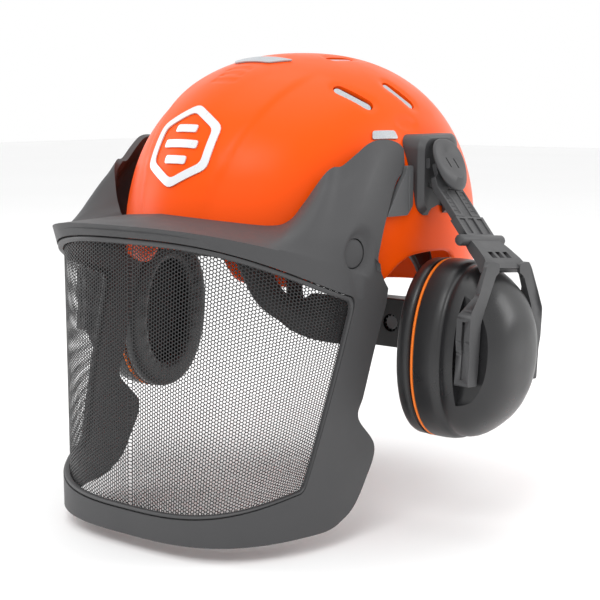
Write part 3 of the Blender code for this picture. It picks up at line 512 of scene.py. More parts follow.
def rim_height(y):
    """Height of the shell's lower edge at this y."""
    return from_table(RIM_PROFILE, y)


def dome(turn, rise, grow):
    """Point of the dome at a turn round it and a rise above the rim plane."""
    reach = cos(rise) ** (2 / PROFILE_POWER) if rise < pi / 2 else 0.0
    x = (SHELL_HALF.x + grow) * reach * signed_power(cos(turn), 2 / PLAN_POWER)
    y = (SHELL_HALF.y + grow) * reach * signed_power(sin(turn), 2 / PLAN_POWER)
    return Vector((x, y, (SHELL_HALF.z + grow) * sin(rise) ** (2 / PROFILE_POWER)))


def on_dome(direction, grow=0.0):
    """Point of the dome in this direction from the middle of the head."""
    a, b, c = (side + grow for side in SHELL_HALF)
    d = Vector(direction)
    plan = (abs(d.x) / a) ** PLAN_POWER + (abs(d.y) / b) ** PLAN_POWER
    size = plan ** (PROFILE_POWER / PLAN_POWER) + (abs(d.z) / c) ** PROFILE_POWER
    return d * size ** (-1 / PROFILE_POWER)


def dome_normal(point):
    """Outward direction of the dome at this point."""
    step = 0.002
    up = on_dome(point + Vector((0, 0, step)))
    side = Vector((-point.y, point.x, 0)).normalized() * step
    here = on_dome(point)
    return (on_dome(point + side) - here).cross(up - here).normalized()


def hinge_relief(point):
    """The inner surface, kept inside the recess of the visor's hinge."""
    r = ((point.y - HINGE.y) ** 2 + (point.z - HINGE.z) ** 2) ** 0.5
    limit = RECESS_FLOOR - SHELL_WALL + max(0.0, r - 0.034) * 0.9
    if abs(point.x) > limit:
        point.x = limit if point.x > 0 else -limit
    return point


VENTS = (("front_side_vent", (0.067, -0.037, 0.0885), (0.0127, 0.010, -0.0087), 0.027, 0.0090),
         ("rear_side_vent", (0.0727, 0.0035, 0.0900), (0.010, 0.008, -0.010), 0.025, 0.0095),
         ("top_vent", (0.030, -0.003, 0.111), (0.0, 1.0, 0.0), 0.024, 0.0080))


def vent_places():
    """Each vent's name, side, centre, axes (along, across, out), length and width."""
    for name, place, heading, length, width in VENTS:
        for side, word in SIDES:
            centre = on_dome((place[0] * side, place[1], place[2]))
            normal = dome_normal(centre)
            forward = Vector((heading[0] * side, heading[1], heading[2]))
            forward = (forward - normal * forward.dot(normal)).normalized()
            yield f"{name}_{word}", centre, Matrix((forward, normal.cross(forward), normal)), length, width


def shell_relief(point, vents):
    """How far the moulded surface lies inside (negative) the plain dome at this point."""
    depth = 0.0
    for centre, axes, length, width in vents:
        away = point - centre
        if away.length > 0.030:
            continue
        u, v = (axes @ away).xy
        edge = hypot(max(0.0, abs(u) - (length - width) / 2), v) - width / 2
        depth -= 0.0010 * smooth_step(1 - edge / 0.0040)
    x, y, z = abs(point.x), point.y, point.z
    for groove in GROOVES_Y:
        across = hypot(max(0.0, x - GROOVE_REACH), y - groove)
        depth -= 0.0007 * smooth_step((0.0017 - across) / 0.0010)
    oval_edge = hypot((y - DIMPLE[0]) / 0.0085, (z - DIMPLE[1]) / 0.0042)
    if x > 0.06 and oval_edge < 1.6:
        depth -= 0.0012 * smooth_step((1.35 - oval_edge) / 0.6)
    if y < -0.03 and z > 0.010:
        brow = 0.0300 + 0.21 * (z - 0.034)
        ends = smooth_step((z - 0.010) / 0.030) * smooth_step((-y - 0.035) / 0.030)
        depth -= 0.0014 * smooth_step((x - brow + 0.0035) / 0.0050) * ends * smooth_step((0.078 - x) / 0.030)
        side = 0.0285 + 0.09 * (z - PANEL_FOOT)
        panel = max(x - side, PANEL_FOOT - z)
        if z < 0.062:
            depth -= 0.0004 * smooth_step(1 - abs(panel) / 0.0011) * smooth_step((0.062 - z) / 0.006)
    return depth


def shell_rows(grow, around, rows, skirt, vents=()):
    """Rows of points round the shell, from the rim up; the first few form its skirt."""
    lines = []
    for r in range(rows):
        line = []
        for i in range(around):
            turn = 2 * pi * i / around
            if r < skirt:
                foot = dome(turn, 0.0, grow)
                share = r / skirt
                foot.z = rim_height(foot.y) * (1 - share)
                line.append(foot)
                continue
            point = dome(turn, pi / 2 * (r - skirt) / (rows - skirt), grow)
            if grow < 0:
                point = hinge_relief(point)
            else:
                point += dome_normal(point) * shell_relief(point, vents)
            line.append(point)
        lines.append(line)
    return lines


def build_shell():
    """The moulded shell with its rim, hinge recesses, vent slots and their inserts."""
    around, rows, skirt = 240, 84, 8
    vents = [(centre, axes, length, width) for name, centre, axes, length, width in vent_places()]
    outer = shell_rows(0.0, around, rows, skirt, vents)
    inner = shell_rows(-SHELL_WALL, around, rows, skirt)
    for i in range(around):
        middle = (outer[0][i] + inner[0][i]) / 2
        outer[0][i] = middle.lerp(outer[0][i], 0.55) - Vector((0, 0, 0.0004))
        inner[0][i] = middle.lerp(inner[0][i], 0.55) - Vector((0, 0, 0.0004))
        outer[1][i].z = outer[0][i].z + 0.0012
        inner[1][i].z = inner[0][i].z + 0.0012
    points = [p for line in outer for p in line] + [p for line in inner for p in line]
    points += [Vector((0, 0, SHELL_HALF.z)), Vector((0, 0, SHELL_HALF.z - SHELL_WALL))]
    back = rows * around
    faces = []
    for i in range(around):
        j = (i + 1) % around
        for r in range(rows - 1):
            for base in (0, back):
                a = base + r * around
                faces.append((a + i, a + j, a + around + j, a + around + i))
        top = (rows - 1) * around
        faces.append((top + i, top + j, len(points) - 2))
        faces.append((back + top + i, back + top + j, len(points) - 1))
        faces.append((i, j, back + j, back + i))
    item = solid("moulded_shell", points, faces, "shell")
    tools = []
    for side, word in SIDES:
        bar, sides = disc(RECESS_RADIUS, 0.020, 72)
        bar = along(bar, (side * RECESS_FLOOR, HINGE.y, HINGE.z), (side, 0, 0))
        tools.append((solid(f"recess_{word}", bar, sides, "shell"), "DIFFERENCE"))
    for name, centre, axes, length, width in vent_places():
        loops = [[centre + axes.transposed() @ Vector((u, v, w)) for u, v in oblong(length, width)]
                 for w in (-0.009, 0.006)]
        tools.append((solid(f"{name}_slot", *loft(loops), "shell"), "DIFFERENCE"))
    settle(item, "helmet", ["shell"], tools=tools, sharp=38)
    for name, centre, axes, length, width in vent_places():
        aside = -0.17 * width if "left" in name else 0.17 * width
        loops = [[centre + axes.transposed() @ Vector((u * k, v * k + aside, w))
                  for u, v in oblong(length * 0.93, width * 0.60)]
                 for k, w in ((1.0, -0.0042), (1.0, -0.0020), (0.96, -0.0017))]
        settle(solid(f"{name}_insert", *loft(loops), "silver"), "helmet", [name])


def film(name, outline, place, kind, nodes, hole=None):
    """A thin plate that follows the shell; outline is (across, up) round the place, hole a second one."""
    centre = on_dome(place)
    normal = dome_normal(centre)
    across = Vector((0, 0, 1)).cross(normal)
    across = across.normalized() if across.length > 0.2 and abs(centre.x) > 0.01 else Vector((1, 0, 0))
    up = normal.cross(across)

    def dense(loop):
        edge = []
        for (u, v), (next_u, next_v) in zip(loop, loop[1:] + loop[:1]):
            parts = 10
            edge += [(u + (next_u - u) * k / parts, v + (next_v - v) * k / parts) for k in range(parts)]
        return edge

    def lifted(loop, grow):
        return [on_dome(centre + across * u + up * v, grow) for u, v in loop]
    edge = dense(outline)
    middle_u = sum(u for u, v in edge) / len(edge)
    middle_v = sum(v for u, v in edge) / len(edge)
    if hole:
        inside = dense(hole)
        loops = []
        for grow, order in ((FILM_UNDER, 1), (FILM_TOP, -1)):
            shares = spread(0.0, 1.0, 4)[::order]
            for t in shares:
                middle = [(a[0] + (b[0] - a[0]) * t, a[1] + (b[1] - a[1]) * t) for a, b in zip(inside, edge)]
                loops.append(lifted(middle, grow))
        points, faces = ring(loops)
    else:
        loops = []
        rows = 6
        for grow, shares in ((FILM_UNDER, [k / rows for k in range(1, rows + 1)]),
                             (FILM_TOP, [k / rows for k in range(rows, 0, -1)])):
            loops += [lifted([(middle_u + (u - middle_u) * share, middle_v + (v - middle_v) * share)
                              for u, v in edge], grow) for share in shares]
        points, faces = loft(loops)
    return settle(solid(name, points, faces, kind), "helmet", nodes)


def build_badges():
    """Generic badge and reflecting films."""
    def hexagon(size, tall=1.0):
        return cornered([(size * sin(pi * i / 3), tall * size * cos(pi * i / 3)) for i in range(6)],
                        size * 0.16)
    place = (0, -0.118, 0.060)
    film("emblem_ring", hexagon(0.0275, 1.06), place, "emblem", ["front_badge"], hole=hexagon(0.0215, 1.06))
    for k, (width, height) in enumerate(((0.0080, 0.0105), (0.0125, 0.0), (0.0080, -0.0105))):
        bar = cornered([(-width, height - 0.0026), (width, height - 0.0026), (width, height + 0.0026),
                        (-width, height + 0.0026)], 0.0014)
        film(f"emblem_bar_{k + 1}", bar, place, "emblem", [])
    film("crown_film", cornered([(0.024, 0.006), (0.014, -0.006), (-0.014, -0.006),
                                (-0.024, 0.006)], 0.002),
         (0, -0.047, 0.108), "silver", ["crown_reflector"])
    for side, word in SIDES:
        patch = cornered([(0.010, -0.0042), (0.009, 0.0012), (-0.008, 0.0012), (-0.010, -0.0042)], 0.0015)
        film(f"side_film_{word}", patch, (side * 0.0875, -0.034, 0.0675), "silver",
             [f"side_reflector_{word}"])


# ---------------------------------------------------------------- visor
UPPER_EDGE = ((0.00, (0.0000, -0.1360, 0.0200)), (0.20, (0.0380, -0.1255, 0.0170)),
              (0.34, (0.0600, -0.1090, 0.0145)), (0.41, (0.0690, -0.1025, 0.0175)),
              (0.46, (0.0760, -0.0985, 0.0270)), (0.54, (0.0845, -0.0915, 0.0425)),
              (0.59, (0.0875, -0.0860, 0.0476)), (0.64, (0.0895, -0.0795, 0.0484)),
              (0.71, (0.0925, -0.0690, 0.0553)), (0.78, (0.0950, -0.0580, 0.0616)),
              (0.86, (0.0972, -0.0470, 0.0629)), (0.94, (0.0988, -0.0368, 0.0607)),
              (1.00, (0.0997, -0.0318, 0.0572)))
REAR_EDGE = ((0.00, (0.0997, -0.0318, 0.0572)), (0.10, (0.1000, -0.0310, 0.0490)),
             (0.17, (0.1002, -0.0325, 0.0440)), (0.22, (0.1006, -0.0375, 0.0405)),
             (0.30, (0.1014, -0.0432, 0.0350)), (0.48, (0.1040, -0.0560, 0.0150)),
             (0.62, (0.1046, -0.0615, 0.0020)), (0.76, (0.1049, -0.0640, -0.0070)),
             (0.90, (0.1050, -0.0590, -0.0170)), (1.00, (0.1050, -0.0535, -0.0240)))
REAR_START, REAR_END = Vector(REAR_EDGE[0][1]), Vector(REAR_EDGE[-1][1])
LIP_HALF, LIP_CENTRE, LIP_REACH = 0.1050, -0.0410, 0.1310
LIP_RISE, LIP_LOW = 0.0397, -0.0240
FRONT_POWER = 3.0
FRAME_ROWS = ((0.0083, -0.0260, -0.0330, -0.0834, -0.0550),
              (-0.0300, -0.0550, -0.0580, -0.0927, -0.0645),
              (-0.0720, -0.0840, -0.0850, -0.1020, -0.0735),
              (-0.1000, -0.1010, -0.0985, -0.1075, -0.0775),
              (-0.1250, -0.1200, -0.1190, -0.1135, -0.0605),
              (-0.1510, -0.1360, -0.1400, -0.1190, -0.0700),
              (-0.1650, -0.1625, -0.1620, -0.1190, -0.0860))


def front_arc(half, centre, reach, turn):
    """(x, y) on the full front curve of the visor."""
    return half * cos(turn) ** (2 / FRONT_POWER), centre - reach * sin(turn) ** (2 / FRONT_POWER)


def lip_edge(share):
    """The peak's lip, from the middle (0) to the rear (1)."""
    turn = radians(1.8 + 88.2 * (1 - share) ** 1.4)
    x, y = front_arc(LIP_HALF, LIP_CENTRE, LIP_REACH, min(turn, pi / 2 - 1e-9))
    return Vector((x, y, LIP_LOW + LIP_RISE * max(0.0, (-0.054 - y) / 0.118) ** 0.95))


def upper_panel(share, down):
    """Peak and wing: share from the centre (0) to the rear (1), down from the upper edge to the lip."""
    point = smooth_curve(UPPER_EDGE, share).lerp(lip_edge(share), down)
    point += (smooth_curve(REAR_EDGE, down) - REAR_START.lerp(REAR_END, down)) * share ** 4
    point.x += 0.003 * sin(pi * down) * min(1.0, max(0.0, (share - 0.42) / 0.3)) * (1 - share ** 6)
    fold = max(0.0, 1 - abs(share - 0.83 + 0.12 * down) / 0.16)
    point.x += 0.0013 * fold ** 1.4 * smooth_step(down / 0.15) * smooth_step((0.95 - down) / 0.3)
    return point


def frame_row(share, row):
    """Window and frame: row 0 is the window's top edge, 5 its lower edge, 6 the bottom of the frame."""
    if row > 5.0 and share > WINDOW_SHARE:
        across, below = (share - WINDOW_SHARE) / (1 - WINDOW_SHARE), row - 5.0
        share = WINDOW_SHARE + (1 - WINDOW_SHARE) * across * (1 - 0.17 * below ** 6)
        row = 5.0 + below * (1 - 0.17 * across ** 6)
    i = min(max(int(row), 0), len(FRAME_ROWS) - 2)
    height, window_z, window_y = (a[k] + (b[k] - a[k]) * (row - i) for a, b, k in
                                  ((FRAME_ROWS[i], FRAME_ROWS[i + 1], k) for k in (0, 1, 3)))
    rear_z = from_table([(k, line[2]) for k, line in enumerate(FRAME_ROWS)], row)
    rear_y = from_table([(k, line[4]) for k, line in enumerate(FRAME_ROWS)], row)
    fall = min(1.0, max(0.0, (-0.020 - window_z) / 0.147))
    half, reach, centre = 0.1045 - 0.006 * fall, 0.111 + 0.011 * fall, -0.055 + 0.006 * fall

    def turn_at(y):
        return asin(min(1.0, max(0.0, (centre - y) / reach)) ** (FRONT_POWER / 2))
    if share <= WINDOW_SHARE:
        turn = turn_at(window_y)
        turn += (pi / 2 - 1e-9 - turn) * (1 - share / WINDOW_SHARE) ** 1.3
        x, y = front_arc(half, centre, reach, turn)
        front = centre - reach
        z = window_z + (height - window_z) * max(0.0, (window_y - y) / (window_y - front)) ** 1.2
        return Vector((x, y, z))
    t = (share - WINDOW_SHARE) / (1 - WINDOW_SHARE)
    y = window_y + (rear_y - window_y) * t
    return Vector((front_arc(half, centre, reach, turn_at(y))[0], y, window_z + (rear_z - window_z) * t))


def two_sided(function, share, level):
    """A surface point at a share from -1 (right) to 1 (left)."""
    share = min(0.9999, max(-0.9999, share))
    point = function(abs(share), level)
    return Vector((point.x if share >= 0 else -point.x, point.y, point.z))


def with_normal(function, share, level, lowest=0.0):
    """A surface point and the outward direction there."""
    step = 0.004
    across = two_sided(function, share + step, level) - two_sided(function, share - step, level)
    lower, upper = max(level - step, lowest), level + step
    down = two_sided(function, share, upper) - two_sided(function, share, lower)
    return two_sided(function, share, level), down.cross(across).normalized()


def in_window(u, v):
    """Signed distance to the window's outline with round corners; u, v run along and down the frame."""
    x = abs(u) - (WINDOW_HALF - WINDOW_CORNER)
    y = abs(v - WINDOW_HEIGHT / 2) - (WINDOW_HEIGHT / 2 - WINDOW_CORNER)
    return hypot(max(x, 0.0), max(y, 0.0)) + min(max(x, y), 0.0) - WINDOW_CORNER


def to_window_edge(u, v):
    """The nearest point of the window's outline."""
    for _ in range(3):
        d = in_window(u, v)
        e = 1e-6
        gu = (in_window(u + e, v) - in_window(u - e, v)) / (2 * e)
        gv = (in_window(u, v + e) - in_window(u, v - e)) / (2 * e)
        size = hypot(gu, gv) or 1.0
        u, v = u - d * gu / size, v - d * gv / size
    return u, v


def dish_round_button(point):
    """Depth of the shallow dish behind the button."""
    mirrored_point = Vector((abs(point.x), point.y, point.z))
    away = mirrored_point - (BUTTON_CENTRE + Vector((0, 0.0032, 0)))
    distance = hypot(away.y, away.z * 0.92)
    if abs(away.x) > 0.02:
        return 0.0
    return 0.0021 * smooth_step((0.0140 - distance) / 0.0045)


def build_frame():
    """The visor's one moulded skin: peak, wings, side frames and lower rim round the window."""
    shares = spread(-1.0, 1.0, 201)
    downs = spread(0.0, 1.0, 27)
    levels = spread(-0.02, 6.0, 76)
    spots = [[(upper_panel, s, d) for s in shares] for d in downs]
    scale_u, scale_v = WINDOW_HALF / WINDOW_SHARE, WINDOW_HEIGHT / 5.0
    spots += [[(frame_row, s, max(0.0, r)) for s in shares] for r in levels]
    first = len(downs)
    columns = len(shares)
    open_cells = set()
    for r in range(first, len(spots) - 1):
        for c in range(columns - 1):
            u = (shares[c] + shares[c + 1]) / 2 * scale_u
            v = (levels[r - first] + levels[r - first + 1]) / 2 * scale_v
            if in_window(u, v) < 0:
                open_cells.add((r, c))
    edge_nodes = set()
    for r, c in open_cells:
        for other in ((r - 1, c), (r + 1, c), (r, c - 1), (r, c + 1)):
            if other not in open_cells:
                if other[0] != r:
                    row = max(r, other[0])
                    edge_nodes |= {(row, c), (row, c + 1)}
                else:
                    column = max(c, other[1])
                    edge_nodes |= {(r, column), (r + 1, column)}
    points = []
    for r, line in enumerate(spots):
        for c, (function, s, level) in enumerate(line):
            if (r, c) in edge_nodes:
                u, v = to_window_edge(s * scale_u, level * scale_v)
                s, level = u / scale_u, max(0.0, v / scale_v)
            point = two_sided(function, s, level)
            dish = dish_round_button(point)
            if dish:
                point -= Vector((BUTTON_AXIS.x * (1 if point.x > 0 else -1), BUTTON_AXIS.y, 0)) * dish
            points.append(point)
    faces = []
    for r in range(len(spots) - 1):
        for c in range(columns - 1):
            if (r, c) not in open_cells:
                a = r * columns + c
                faces.append((a, a + 1, a + columns + 1, a + columns))
    item = solid("visor_shield", points, faces, "visor")
    work = bmesh.new()
    work.from_mesh(item.data)
    bmesh.ops.delete(work, geom=[v for v in work.verts if not v.link_faces], context="VERTS")
    work.to_mesh(item.data)
    work.free()
    wall = item.modifiers.new("wall", "SOLIDIFY")
    wall.thickness = VISOR_WALL
    wall.offset = -1.0
    tools = []
    for side, word in SIDES:
        bar, sides = disc(BUTTON_RADIUS + 0.0003, 0.018, 64)
        hole = along(bar, BUTTON_CENTRE - BUTTON_AXIS * 0.009, BUTTON_AXIS)
        tools.append((solid(f"button_hole_{word}", mirrored(hole, side), sides, "visor"), "DIFFERENCE"))
    settle(item, "visor", ["visor_frame"], rounding=0.0008, tools=tools, angle=50)


def build_window_trim():
    """The dark bead round the window, a closed ring that follows the frame."""
    def loop(inset, depth):
        points = []
        half, tall = WINDOW_HALF - inset, WINDOW_HEIGHT - inset * 2
        route = []
        corner = WINDOW_CORNER - inset * 0.6
        for u, v, start in ((half - corner, tall - corner, 0), (-half + corner, tall - corner, 90),
                            (-half + corner, corner, 180), (half - corner, corner, 270)):
            route += [(u + corner * cos(radians(start + 15 * k)), v + corner * sin(radians(start + 15 * k)))
                      for k in range(7)]
        dense = []
        for (u, v), (nu, nv) in zip(route, route[1:] + route[:1]):
            parts = max(1, round(hypot(nu - u, nv - v) / 0.003))
            dense += [(u + (nu - u) * k / parts, v + (nv - v) * k / parts) for k in range(parts)]
        for u, v in dense:
            s, level = u / WINDOW_HALF * WINDOW_SHARE, (v + inset) / WINDOW_HEIGHT * 5
            point, normal = with_normal(frame_row, s, level)
            points.append(point - normal * depth)
        return points
    section = ((0.0004, 0.0012), (0.0010, 0.0005), (0.0022, 0.0007), (0.0028, 0.0016), (0.0028, 0.0036),
               (0.0004, 0.0036))
    loops = []
    count = None
    for inset, depth in section:
        made = loop(inset, depth)
        count = count or len(made)
        if len(made) != count:
            made = [made[int(i * len(made) / count)] for i in range(count)]
        loops.append(made)
    settle(solid("window_bead", *ring(loops), "muff"), "visor", ["visor_trim"], sharp=60)


def walked(path, last):
    """Pairs of the distance walked along a path and the number that leads there."""
    pairs, here = [(0.0, 0.0)], path(0.0)
    for i in range(1, 81):
        ahead = path(last * i / 80)
        pairs.append((pairs[-1][0] + (ahead - here).length, last * i / 80))
        here = ahead
    return pairs


def build_mesh():
    """Hexagonal holes in staggered columns over the window, as real openings."""
    pitch, wire = settings().mesh_pitch, settings().mesh_wire
    columns_step = pitch * 3 ** 0.5 / 2
    shares = walked(lambda share: frame_row(share, 2.5), 1.0)
    levels = walked(lambda level: frame_row(0.0, level), 5.2)
    reach_u = next(length for length, share in shares if share > WINDOW_SHARE) + 0.001
    low_v, high_v = -0.001, levels[-1][0] - 0.002
    outer_size = pitch / 3 ** 0.5
    inner_size = outer_size - wire / 3 ** 0.5
    surface = {}

    def place(u, v, depth):
        key = (round(u * 2e6), round(v * 2e6), depth)
        if key not in surface:
            share = from_table(shares, abs(u)) * (1 if u > 0 else -1)
            level = from_table(levels, v) if v > 0 else v / levels[-1][0] * 5
            point, normal = with_normal(frame_row, share, level, -0.2)
            surface[key] = (len(surface), point - normal * (VISOR_WALL + 0.0006 + depth))
        return surface[key][0]

    pieces = {"left": [], "middle": [], "right": []}
    count = int(reach_u / columns_step)
    for column in range(-count, count + 1):
        u = column * columns_step
        word = "left" if u > 0.05 else "right" if u < -0.05 else "middle"
        shift = pitch / 2 if column % 2 else 0.0
        for row in range(int((high_v - low_v) / pitch)):
            v = low_v + pitch / 2 + row * pitch + shift
            corners = [(cos(pi * k / 3), sin(pi * k / 3)) for k in range(6)]
            rim = [place(u + outer_size * a, v + outer_size * b, 0.0) for a, b in corners]
            hole = [place(u + inner_size * a, v + inner_size * b, 0.0) for a, b in corners]
            deep = [place(u + inner_size * a, v + inner_size * b, MESH_SHEET) for a, b in corners]
            for k in range(6):
                n = (k + 1) % 6
                pieces[word].append((rim[k], rim[n], hole[n], hole[k]))
                pieces[word].append((hole[k], hole[n], deep[n], deep[k]))
    points = [point for index, point in sorted(surface.values(), key=lambda entry: entry[0])]
    for word, faces in pieces.items():
        used = sorted({i for face in faces for i in face})
        index = {old: new for new, old in enumerate(used)}
        mesh = bpy.data.meshes.new(f"wire_mesh_{word}")
        mesh.from_pydata([tuple(points[i]) for i in used], [], [tuple(index[i] for i in f) for f in faces])
        mesh.materials.append(look("mesh"))
        item = bpy.data.objects.new(f"wire_mesh_{word}", mesh)
        bpy.context.collection.objects.link(item)
        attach(item, "visor")
        if word == "middle":
            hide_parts("visor_mesh")


def build_visor_fittings():
    """Hinge studs, side plates, and push buttons with their cups."""
    plate_outline = cornered(((-0.0262, 0.0470), (-0.0262, 0.0230), (-0.0320, 0.0175), (-0.0525, 0.0178),
                              (-0.0515, 0.0195), (-0.0405, 0.0355), (-0.0335, 0.0432),
                              (-0.0335, 0.0470)), 0.0016)
    for side, word in SIDES:
        bar, sides = turned(((0.0060, 0.0), (0.0060, 0.0020), (0.0054, 0.0026)), 40)
        bar = along(bar, (RECESS_FLOOR + 0.0003, HINGE.y, HINGE.z), (1, 0, 0))
        settle(solid(f"hinge_stud_{word}", mirrored(bar, side), sides, "muff"), "helmet",
               [f"visor_stud_{word}"])
        plate, faces = extrude(plate_outline, 0.0993, 0.1026)
        plate = [p + Vector((0, 0.0009, 0)) if p.y > -0.05 else p for p in plate]
        settle(solid(f"hinge_plate_{word}", mirrored(plate, side), faces, "plate"), "visor",
               [f"visor_side_plate_{word}"], rounding=0.0006)
        rib, faces = box(0.1020, 0.1031, -0.0300, -0.0288, 0.0200, 0.0440)
        settle(solid(f"hinge_plate_rib_{word}", mirrored(rib, side), faces, "plate"), "visor",
               rounding=0.0003)
        cap, sides = turned(((BUTTON_RADIUS, 0.0), (BUTTON_RADIUS, 0.0032), (BUTTON_RADIUS - 0.0004, 0.0038),
                             (BUTTON_RADIUS - 0.0012, 0.0040), (0.0004, 0.0041)), 64)
        cap = along(cap, BUTTON_CENTRE - BUTTON_AXIS * 0.0046, BUTTON_AXIS)
        settle(solid(f"lock_button_{word}", mirrored(cap, side), sides, "visor"), f"button_{word}",
               [f"visor_button_{word}"])
        cup, sides = turned(((0.0108, 0.0), (0.0112, 0.0006), (0.0112, 0.0058), (0.0090, 0.0058),
                             (0.0090, 0.0015)), 48)
        cup = along(cup, BUTTON_CENTRE - BUTTON_AXIS * 0.0108, BUTTON_AXIS)
        settle(solid(f"button_well_{word}", mirrored(cup, side), sides, "muff"), "visor",
               [f"button_cup_{word}"])


# ---------------------------------------------------------------- ear muffs
def lean(along_arm, out, y):
    """A point given along the arm, out from it and across it."""
    return ARM_KNEE + Vector((sin(ARM_LEAN) * along_arm + cos(ARM_LEAN) * out, y,
                              -cos(ARM_LEAN) * along_arm + sin(ARM_LEAN) * out))


def leaning_bar(start, end, half_width, low, high, centre=0.0):
    """A bar along the arm's lean."""
    return loft([[lean(s, out, centre + y) for y, out in ((-half_width, low), (half_width, low),
                                                          (half_width, high), (-half_width, high))]
                 for s in (start, end)])


class Muff:
    """One side's ear muff: every piece is made in the hub's frame and placed on its side."""

    def __init__(self, side, word):
        self.side = side
        self.word = word
        self.place = Matrix.Translation((side * HUB.x, HUB.y, HUB.z)) @ Matrix.Rotation(MUFF_ROLL, 4, "X")

    def made(self, name, points_faces, kind):
        points, faces = points_faces
        moved = [self.place @ p for p in mirrored(points, self.side)]
        return solid(f"{name}_{self.word}", moved, faces, kind)

    def tool(self, points_faces):
        return self.made("cutter", points_faces, "muff"), "DIFFERENCE"

    def join(self, points_faces):
        return self.made("joined", points_faces, "muff"), "UNION"

    def bracket(self):
        """Mount on the shell, cut to the dome, with a round well and a channel for the arm."""
        side, word = self.side, self.word
        base = rounded(-0.0222, 0.0317, 0.0158, 0.0652, 0.0090)
        step = rounded(-0.0222, 0.0210, 0.0162, 0.0648, 0.0090)
        face = rounded(-0.0200, 0.0125, 0.0190, 0.0630, 0.0080)
        levels = ((base, 0.0780), (base, 0.0975), (step, 0.1030), (step, 0.1036), (face, BRACKET_FACE))
        points, faces = loft([[Vector((x, y, z)) for y, z in outline] for outline, x in levels])
        item = solid(f"muff_mount_{word}", mirrored(points, side), faces, "muff")
        rows = shell_rows(0.0004, 96, 26, 2)
        lower, lower_faces = loft([[Vector((p.x, p.y, -0.03)) for p in rows[0]]] + rows[2:])
        lower.append(Vector((0, 0, SHELL_HALF.z)))
        top = len(lower) - 1 - 96
        lower_faces = lower_faces[:1] + lower_faces[2:]
        lower_faces += [(top + i, top + (i + 1) % 96, len(lower) - 1) for i in range(96)]
        tools = [(solid("dome_cutter", lower, lower_faces, "muff"), "DIFFERENCE")]
        well, sides = disc(0.0150, 0.0100, 64)
        well = along(well, (BRACKET_FACE - 0.0030, HUB.y, HUB.z), (1, 0, 0))
        tools.append((solid("well_cutter", mirrored(well, side), sides, "muff"), "DIFFERENCE"))
        channel, sides = box(BRACKET_FACE - 0.0030, 0.12, -0.0165, 0.0045, 0.010, HUB.z)
        tools.append((solid("channel_cutter", mirrored(channel, side), sides, "muff"), "DIFFERENCE"))
        settle(item, "helmet", [f"muff_bracket_{word}"], rounding=0.0022, tools=tools, angle=40,
               segments=4)

    def hub(self):
        """Disc that swings in the mount's well."""
        floor_x = BRACKET_FACE - HUB.x - 0.0027
        bar, sides = turned(((0.0147, 0.0), (0.0147, 0.0019), (0.0143, 0.0023)), 64)
        item = self.made("hub_disc", (along(bar, (floor_x, 0, 0), (1, 0, 0)), sides), "muff")
        tools = []
        for way in (-1, 1):
            y_low, y_high = sorted((way * 0.0104, way * 0.0126))
            tools.append(self.join(box(floor_x + 0.0010, 0.0004, y_low, y_high, -0.0030, 0.0030)))
        settle(item, f"muff_hub_{self.word}", [f"muff_hub_{self.word}"], rounding=0.0003, tools=tools)

    def cover(self):
        """Leaf-shaped cover over the hub, with two slits and a boss."""
        def inner(z):
            return 0.0005 + 0.40 * (0.0150 - z)
        outline = []
        for i in range(72):
            a = 2 * pi * i / 72
            width = 0.0160 * signed_power(sin(a), 0.85) * (1 + 0.14 * cos(a))
            outline.append((width, 0.0155 * cos(a)))
        levels = ((0.97, 0.0), (1.0, 0.0004), (1.0, 0.0012), (0.97, 0.0019), (0.90, 0.0025), (0.78, 0.0029),
                  (0.5, 0.0031))
        loops = [[Vector((inner(z) + out, y * k, z * k)) for y, z in outline] for k, out in levels]
        item = self.made("arm_cover", loft(loops), "muff")
        tools = [self.tool(box(inner(0.003) + 0.0008, 0.02, y - 0.0006, y + 0.0006, -0.0015, 0.0085))
                 for y in (-0.0042, 0.0042)]
        settle(item, f"muff_arm_{self.word}", [f"hub_cover_{self.word}"], tools=tools, sharp=35)
        tip, sides = turned(((0.0042, 0.0), (0.0040, 0.0012), (0.0028, 0.0019), (0.0008, 0.0022)), 32)
        tip = along(tip, (inner(-0.0080) + 0.0018, 0, -0.0080), (0.93, 0, 0.37))
        settle(self.made("cover_boss", (tip, sides), "muff"), f"muff_arm_{self.word}")

    def arm(self):
        """Bent rails that the yoke slides on, with height marks."""
        neck = ((0.0030, 0.0005, 0.0002, -0.0007, 0.0100), (0.0052, -0.0060, 0.0024, -0.0072, 0.0100),
                (0.0059, -0.0080, 0.0028, -0.0094, 0.0140), (0.0080, -0.0135, 0.0046, -0.0156, 0.0140))
        loops = [[Vector((x_in, -half, z_in)), Vector((x_in, half, z_in)), Vector((x, half, z)),
                  Vector((x, -half, z))] for x, z, x_in, z_in, half in neck]
        loops.append([lean(0.022, out, y) for y, out in ((-0.014, -0.004), (0.014, -0.004), (0.014, 0.0),
                                                         (-0.014, 0.0))])
        item = self.made("arm_rails", loft(loops), "muff")
        tools = [self.tool(leaning_bar(0.0012, 0.030, 0.0042, -0.008, 0.004))]
        for y in (-0.0092, 0.0092):
            tools.append(self.tool(leaning_bar(0.0030, 0.0200, 0.0028, -0.0006, 0.004, y)))
        settle(item, f"muff_arm_{self.word}", [f"muff_arm_{self.word}"], rounding=0.0003, tools=tools)
        for k in range(5):
            for y in (-0.0092, 0.0092):
                tick = leaning_bar(0.0050 + 0.0030 * k, 0.0056 + 0.0030 * k, 0.0016, -0.0008, -0.0003, y)
                name = f"arm_tick_{k + 1}_{'front' if y < 0 else 'rear'}"
                settle(self.made(name, tick, "muff"), f"muff_arm_{self.word}", sharp=30)

